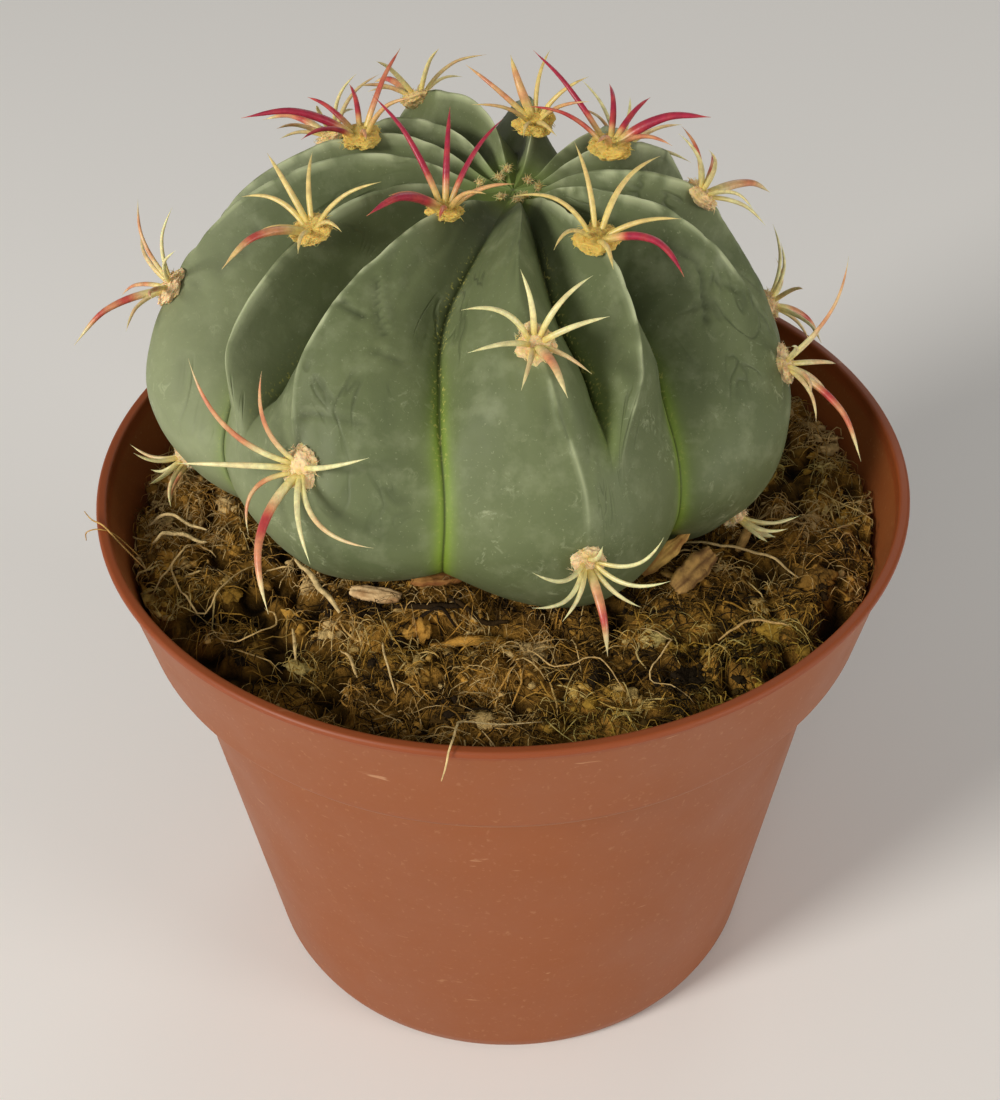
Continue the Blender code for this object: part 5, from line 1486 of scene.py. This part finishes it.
def spine_lists():
    """Name, rib, reach, pad size, colour and spines of each cluster."""
    draw = random.Random(SPINE_SEED)
    found = []
    for rib, reach, size, colour in CLUSTERS:
        name = f"{rib}_{int(reach)}"
        for _ in range(PAD_CORNERS):
            draw.uniform(*PAD_LUMPS)
        spines = SPINES.get(name)
        if spines is None:
            spines = [(clock + draw.uniform(-1, 1) * USUAL_VARIES[0],
                       lift + draw.uniform(-1, 1) * USUAL_VARIES[1],
                       length * (1 + draw.uniform(-1, 1) * USUAL_VARIES[2]), red)
                      for clock, lift, length, red in (LOW_SPINES if reach > LOW_REACH else USUAL_SPINES)]
        found.append((name, rib, reach, size, colour, spines))
    return found


def bands(u, strength, waves, rng):
    """Bands along a spine, which darken it by up to twice the strength."""
    return 1 + strength * (np.sin(u * rng.uniform(*waves) + rng.uniform(0, 6)) - 1)


def spine_redness(u, red, colour, central, rng):
    """How red a spine is along its length: yellow at the root, flushed in the middle."""
    if colour == "crimson" or red > ALL_RED:
        banded = red * bands(u, *RED_BANDS, rng)
        return banded * smoothstep(*RED_ROOT, u) * (1 - RED_TIP_PALER * smoothstep(*RED_TIP, u))
    start, stop = rng.uniform(*FLUSH_START), rng.uniform(*FLUSH_STOP)
    if central:
        start, stop = CENTRAL_FLUSH
    flushed = FLUSH * red * bands(u, *FLUSH_BANDS, rng) * smoothstep(start, start + FLUSH_RISE, u)
    return flushed * (1 - FLUSH_TIP_PALER * smoothstep(stop, stop + FLUSH_FALL, u))


def make_cluster(name, rib, reach, size, colour, spines, finish, rng):
    """The bent spines of one cluster, the thick central one last."""
    here, out, up, right = stem_frame(rib, reach)
    middle = here + out * SPINE_LIFT
    u = np.linspace(0.0, 1.0, SPINE_RINGS)
    paths, radii, red_marks, along_marks, sides = [], [], [], [], []
    for k, (clock, lift, length, red) in enumerate(spines):
        central = k == len(spines) - 1
        length = length * MM
        flat = up * math.cos(math.radians(clock)) + right * math.sin(math.radians(clock))
        aim = flat * math.cos(math.radians(lift)) + out * math.sin(math.radians(lift))
        bend = unit(out - aim * out.dot(aim))
        sway = np.cross(aim, bend)
        tip = middle + aim * length
        root = middle + flat * ROOT_SPREAD * size[0] / 2 * MM
        knee = (root + tip) / 2 + bend * length * 2 * SPINE_BOW
        path = root * (1 - u[:, None]) ** 2 + knee * 2 * (u * (1 - u))[:, None] + tip * u[:, None] ** 2
        hook = CENTRAL_HOOK if central else rng.uniform(*USUAL_HOOKS)
        path -= bend * (hook * length * smoothstep(HOOK_START, 1.0, u))[:, None]
        bulge = SWAYS[name][k] if name in SWAYS else rng.uniform(-1, 1) * SWAY_VARIES
        path += sway * (bulge * length * 4 * u * (1 - u))[:, None]
        radius = CENTRAL_RADIUS if central else SPINE_RADIUS
        radius *= (CRIMSON_THICKER if colour == "crimson" else 1.0) * rng.uniform(*SPINE_VARIES)
        paths.append(path)
        radii.append(radius * ramp(SPINE_TAPER, u))
        red_marks.append(spine_redness(u, red, colour, central, rng))
        along_marks.append(u * length / MM)
        sides.append(sway)
    points, faces = tubes(np.array(paths), np.array(radii), SPINE_SIDES, np.array(sides), SPINE_FLATNESS)
    marks = {"red": np.repeat(np.concatenate(red_marks), SPINE_SIDES),
             "along": np.repeat(np.concatenate(along_marks), SPINE_SIDES),
             "old": np.full(len(points), smoothstep(*WOOL_AGES, reach))}
    mesh = mesh_from("spines_" + name, points, faces, marks)
    place("dressed_spines_" + name, mesh, finish, "spine_" + colour, "spines_" + name)


def points_and_faces(bm):
    """The points and faces of a bmesh, which is freed."""
    points = np.array([vert.co for vert in bm.verts])
    faces = np.array([[vert.index for vert in face.verts] for face in bm.faces])
    bm.free()
    return points, faces


def ball(subdivisions):
    """Points and triangles of a round ball of radius one."""
    bm = bmesh.new()
    bmesh.ops.create_icosphere(bm, subdivisions=subdivisions, radius=1.0)
    return points_and_faces(bm)


def wool_hairs(centre, scale, turn, count, rng):
    """Paths and radii of the curled hairs of a pad."""
    aim = unit(rng.normal(size=(count, 3)))
    aim[:, 2] = np.abs(aim[:, 2]) * 0.9 + 0.02
    aim = unit(aim)
    roots = (aim * scale * 0.95) @ turn + centre
    grow = unit((aim / scale) @ turn)
    steps = np.linspace(0, 1, HAIR_RINGS)[None, :, None]
    length = rng.uniform(*HAIR_LENGTH, (count, 1, 1))
    curl = unit(np.cross(grow, unit(rng.normal(size=(count, 3)))))[:, None]
    paths = roots[:, None] + grow[:, None] * length * steps * 0.7 + curl * length * steps ** 2
    radii = rng.uniform(*HAIR_RADIUS, (count, 1)) * (1 - 0.7 * steps[0, :, 0] ** 2)
    return paths, radii


def wool_pad(rib, reach, size, thickness, detail, hairs, rng):
    """A lumpy felted pad with short curled hairs: its points, its faces and their tones, which paint shade
    into the felt's hollows and light onto its lumps.
    """
    here, out, up, right = stem_frame(rib, reach)
    points, shell = ball(detail)
    seed = rng.uniform(0, 50)
    felt = sum(height * lumps(points, size_of, seed) for height, size_of in FELT_LUMPS)
    scale = np.array([size[0] / 2 * MM, size[1] / 2 * MM, thickness / 2])
    scale = scale * (1 + 0.16 * lumps(points * (1, 1, 0), 0.8, seed))[:, None]
    turn = np.stack([right, up, out])
    centre = here + out * PAD_LIFT
    pad = (points * (1 + felt)[:, None] * scale) @ turn + centre
    paths, radii = wool_hairs(centre, scale.mean(axis=0), turn, hairs, rng)
    hair_points, hair_faces = tubes(paths, radii, HAIR_SIDES)
    hair_tones = np.repeat(rng.uniform(*HAIR_TONES, hairs), HAIR_RINGS * HAIR_SIDES)
    tones = np.concatenate([np.clip(0.5 + FELT_SHADE_CONTRAST * felt, 0, 1), hair_tones])
    points, faces = joined([(pad, [shell]), (hair_points, hair_faces)])
    return points, faces, tones


def make_wool(settings):
    """Woolly pads of the areoles, each in its dent on a crest, and the tufts round the growing tip."""
    rng = np.random.default_rng(WOOL_SEED)
    finish = wool_finish(settings)
    pads = [("wool_" + name, rib, reach, size, PAD_THICKNESS, PAD_DETAIL, settings.wool_hairs,
             smoothstep(*WOOL_AGES, reach), "spine_" + colour)
            for name, rib, reach, size, colour, _ in spine_lists()]
    pads += [("young_wool_" + rib, rib, reach, YOUNG_SIZE, YOUNG_THICKNESS, YOUNG_DETAIL, YOUNG_HAIRS,
              YOUNG_AGE, "spine_cream") for rib, reach in YOUNG_TUFTS]
    for name, rib, reach, size, thickness, detail, hairs, age, slot in pads:
        points, faces, tones = wool_pad(rib, reach, size, thickness, detail, hairs, rng)
        marks = {"tone": tones, "old": np.full(len(points), age)}
        place(name, mesh_from(name, points, faces, marks), finish, slot)


# Bark

def make_chip(name, spot, size, seat, turn, lean, finish, rise=0, replaced=()):
    """A flake of bark: an uneven slab with torn ends and a layered top."""
    rng = np.random.default_rng(len(name) + int(size[0] * 10))
    bm = bmesh.new()
    bmesh.ops.create_grid(bm, x_segments=CHIP_COLUMNS, y_segments=CHIP_ROWS, size=0.5)
    base, shell = points_and_faces(bm)
    seed = rng.uniform(0, 40)
    ragged = 1 + 0.25 * lumps(base * (1, 0, 0) + (0, 3, 0), 0.12, seed)
    narrows = LEAF_NARROWS if rise else CHIP_NARROWS
    flat = base.copy()
    flat[:, 1] *= (1 - narrows * np.abs(2 * base[:, 0]) ** 2) * ragged
    flat[:, 0] *= 1 + 0.08 * lumps(base * (0, 1, 0), 0.1, seed)
    edge = np.minimum(1 - np.abs(2 * base[:, 0]) ** 6, 1 - np.abs(2 * base[:, 1]) ** 4)
    layers = CHIP_LAYERS * np.round(2 * lumps(base * (0.5, 1, 1), 0.16, seed)) / 2
    top, bottom = flat.copy(), flat.copy()
    top[:, 2] = np.maximum(CHIP_THICKNESS + (CHIP_CROWN + layers) * edge, 0.12)
    bottom[:, 2] = -0.5 * edge - 0.02
    turn, lean, rise = (math.radians(angle) for angle in (turn, lean, rise))
    matrix = Matrix.Rotation(turn, 3, "Z") @ Matrix.Rotation(-rise, 3, "Y") @ Matrix.Rotation(lean, 3, "X")
    half = (size[1] * math.sin(lean) + size[2] * math.cos(lean) + size[0] * math.sin(rise)) / 2 * MM
    place_at = (spot[0] * MM, spot[1] * MM, SOIL_LEVEL + seat * MM + half + CLEARANCE)
    points = (np.concatenate([top, bottom]) * np.array(size) * MM) @ np.array(matrix).T + place_at
    rim = rim_quads(CHIP_COLUMNS + 1, CHIP_ROWS + 1, len(base))
    strength, streak = CHIP_GRAIN
    grain = strength * smoothstep(-0.1, 0.5, lumps(base * (0.1, 1, 0) + seed, streak))
    mesh = mesh_from(name, points, [shell, shell[:, ::-1] + len(base), rim], {"grain": np.tile(grain, 2)})
    place("flaky_" + name, mesh, finish, "bark", *replaced)


def rim_quads(columns, rows, count):
    """Quads that join the edge of a grid of points to its copy below."""
    index = np.arange(columns * rows).reshape(rows, columns)
    loop = np.concatenate([index[0, :-1], index[:-1, -1], index[-1, :0:-1], index[:0:-1, 0]])
    after = np.roll(loop, -1)
    return np.stack([loop, loop + count, after + count, after], -1)


# Operators

class CACTUS_OT_pot(Operator):
    """Turn the nursery pot and drill its drain holes"""
    bl_idname = "cactus.pot"
    bl_label = "Pot"

    def execute(self, context):
        make_pot(context.scene.cactus_pot)
        return {"FINISHED"}


class CACTUS_OT_soil(Operator):
    """Fill the pot with lumpy peat"""
    bl_idname = "cactus.soil"
    bl_label = "Peat"

    def execute(self, context):
        make_soil(context.scene.cactus_soil)
        return {"FINISHED"}


class CACTUS_OT_fibres(Operator):
    """Lay the mat of fibres and the crumbs on the peat"""
    bl_idname = "cactus.fibres"
    bl_label = "Fibres and Crumbs"

    def execute(self, context):
        settings = context.scene.cactus_soil
        finish = fibre_finish(settings)
        for name, one_in, sides, radius, *shape in FIBRE_LAYERS:
            fibre_layer(name, settings.fibres // one_in, sides, radius * settings.fibre_radius, *shape,
                        finish)
        for name, one_in, *shape in CLOD_LAYERS:
            clod_layer(name, settings.crumbs // one_in, *shape, finish)
        laid_strands(finish)
        return {"FINISHED"}


class CACTUS_OT_stem(Operator):
    """Build the ribbed stem"""
    bl_idname = "cactus.stem"
    bl_label = "Stem"

    def execute(self, context):
        make_stem(context.scene.cactus_stem)
        return {"FINISHED"}


class CACTUS_OT_spines(Operator):
    """Set the spines in their clusters"""
    bl_idname = "cactus.spines"
    bl_label = "Spines"

    def execute(self, context):
        settings = context.scene.cactus_spines
        finishes = {colour: spine_finish("spine_" + colour, settings) for colour in ("cream", "crimson")}
        rng = np.random.default_rng(SHAPE_SEED)
        for name, rib, reach, size, colour, spines in spine_lists():
            make_cluster(name, rib, reach, size, colour, spines, finishes[colour], rng)
        return {"FINISHED"}


class CACTUS_OT_wool(Operator):
    """Felt the woolly pads under the spines"""
    bl_idname = "cactus.wool"
    bl_label = "Wool"

    def execute(self, context):
        make_wool(context.scene.cactus_spines)
        return {"FINISHED"}


class CACTUS_OT_bark(Operator):
    """Lay the flakes of bark"""
    bl_idname = "cactus.bark"
    bl_label = "Bark"

    def execute(self, context):
        settings = context.scene.cactus_bark
        finishes = {"bark_chip_pale": bark_finish("bark_pale", settings.pale, settings.pale_grain),
                    "bark_chip_orange": bark_finish("bark_orange", settings.orange, settings.orange_grain),
                    "bark_chip_brown": bark_finish("bark_brown", settings.brown, settings.brown_grain),
                    "leaning_flake": bark_finish("dry_leaf", settings.leaf, settings.leaf_grain)}
        for name, *place_and_shape in CHIPS:
            make_chip(name, *place_and_shape, finishes[name], replaced=(name,))
        *flake, rise = LEANING_FLAKE
        make_chip(*flake, finishes["leaning_flake"], rise)
        return {"FINISHED"}


class CACTUS_OT_stage(Operator):
    """Set the floor, the lights and the camera"""
    bl_idname = "cactus.stage"
    bl_label = "Stage"

    def execute(self, context):
        settings = context.scene.cactus_stage
        make_floor(settings)
        make_lights(settings)
        make_camera(settings)
        context.scene.view_settings.view_transform = "Standard"
        return {"FINISHED"}


# Stage

def make_floor(settings):
    """A wide round floor of one pale colour."""
    bm = bmesh.new()
    bmesh.ops.create_circle(bm, cap_ends=True, segments=FLOOR_SIDES, radius=FLOOR_RADIUS)
    mesh = bpy.data.meshes.new("floor")
    bm.to_mesh(mesh)
    bm.free()
    floor = add_object("floor", mesh)
    finish = Finish("floor", {"Roughness": 0.9})
    finish.set("Base Color", settings.floor)
    mesh.materials.append(finish.material)


def make_lights(settings):
    """A soft key light high at the front left, weaker ones round it, and a pale room."""
    for name, spot, size, power in LIGHTS:
        light = bpy.data.lights.new(name, "AREA")
        light.shape = "DISK"
        light.size = size
        light.energy = power * settings.strength
        light.color = LIGHT_COLOUR
        lamp = add_object(name, light)
        lamp.location = spot
        aim = Vector((0, 0, POT_HEIGHT)) - Vector(spot)
        lamp.rotation_euler = aim.to_track_quat("-Z", "Y").to_euler()
    world = bpy.data.worlds.new("room")
    world.use_nodes = True
    background = world.node_tree.nodes["Background"]
    background.inputs["Color"].default_value = ROOM_COLOUR
    background.inputs["Strength"].default_value = ROOM_STRENGTH * settings.strength
    bpy.context.scene.world = world


def turned(first, second, degrees):
    """Two directions at right angles, both turned from the first towards the second."""
    angle = math.radians(degrees)
    return (first * math.cos(angle) + second * math.sin(angle),
            second * math.cos(angle) - first * math.sin(angle))


def make_camera(settings):
    """The camera looks down at the rim from the front, a little rolled as in the photograph."""
    rise = settings.height_angle
    level = Vector((1, 0, 0))
    forward = Vector((0, math.cos(rise), -math.sin(rise)))
    forward, up = turned(forward, level.cross(forward), CAMERA_PITCH)
    forward, level = turned(forward, level, CAMERA_YAW)
    level, up = turned(level, up, CAMERA_ROLL)
    data = bpy.data.cameras.new("camera")
    data.sensor_fit = "VERTICAL"
    data.sensor_height = SENSOR
    data.lens = LENS_PIXELS * SENSOR / PHOTO_HEIGHT
    data.clip_start = CLIP_START
    camera = add_object("camera", data)
    matrix = Matrix((level, up, -forward)).transposed().to_4x4()
    matrix.translation = (0, -settings.distance * math.cos(rise),
                          POT_HEIGHT + settings.distance * math.sin(rise))
    camera.matrix_world = matrix
    bpy.context.scene.camera = camera


SETTINGS = {"cactus_pot": PotSettings, "cactus_soil": SoilSettings, "cactus_bark": BarkSettings,
            "cactus_stem": StemSettings, "cactus_spines": SpineSettings, "cactus_stage": StageSettings}
STEPS = (("pot", "cactus_pot"), ("soil", "cactus_soil"), ("fibres", "cactus_soil"),
         ("bark", "cactus_bark"), ("stem", "cactus_stem"), ("spines", "cactus_spines"),
         ("wool", "cactus_spines"), ("stage", "cactus_stage"))


class CACTUS_PT_panel(Panel):
    bl_idname = "CACTUS_PT_panel"
    bl_label = "Horse Crippler Cactus"
    bl_space_type = "VIEW_3D"
    bl_region_type = "UI"
    bl_category = "Cactus"

    def draw(self, context):
        layout = self.layout
        for step, group in STEPS:
            box = layout.box()
            box.operator("cactus." + step)
            settings = getattr(context.scene, group)
            for name in SETTINGS[group].__annotations__:
                box.prop(settings, name)


CLASSES = (*SETTINGS.values(), CACTUS_OT_pot, CACTUS_OT_soil, CACTUS_OT_fibres, CACTUS_OT_bark,
           CACTUS_OT_stem, CACTUS_OT_spines, CACTUS_OT_wool, CACTUS_OT_stage, CACTUS_PT_panel)


def register():
    for cls in CLASSES:
        bpy.utils.register_class(cls)
    for name, group in SETTINGS.items():
        setattr(bpy.types.Scene, name, PointerProperty(type=group))


def unregister():
    for name in SETTINGS:
        delattr(bpy.types.Scene, name)
    for cls in reversed(CLASSES):
        bpy.utils.unregister_class(cls)


def main():
    """Builds everything."""
    register()
    for step, _ in STEPS:
        getattr(bpy.ops.cactus, step)()


if __name__ == "__main__":
    main()
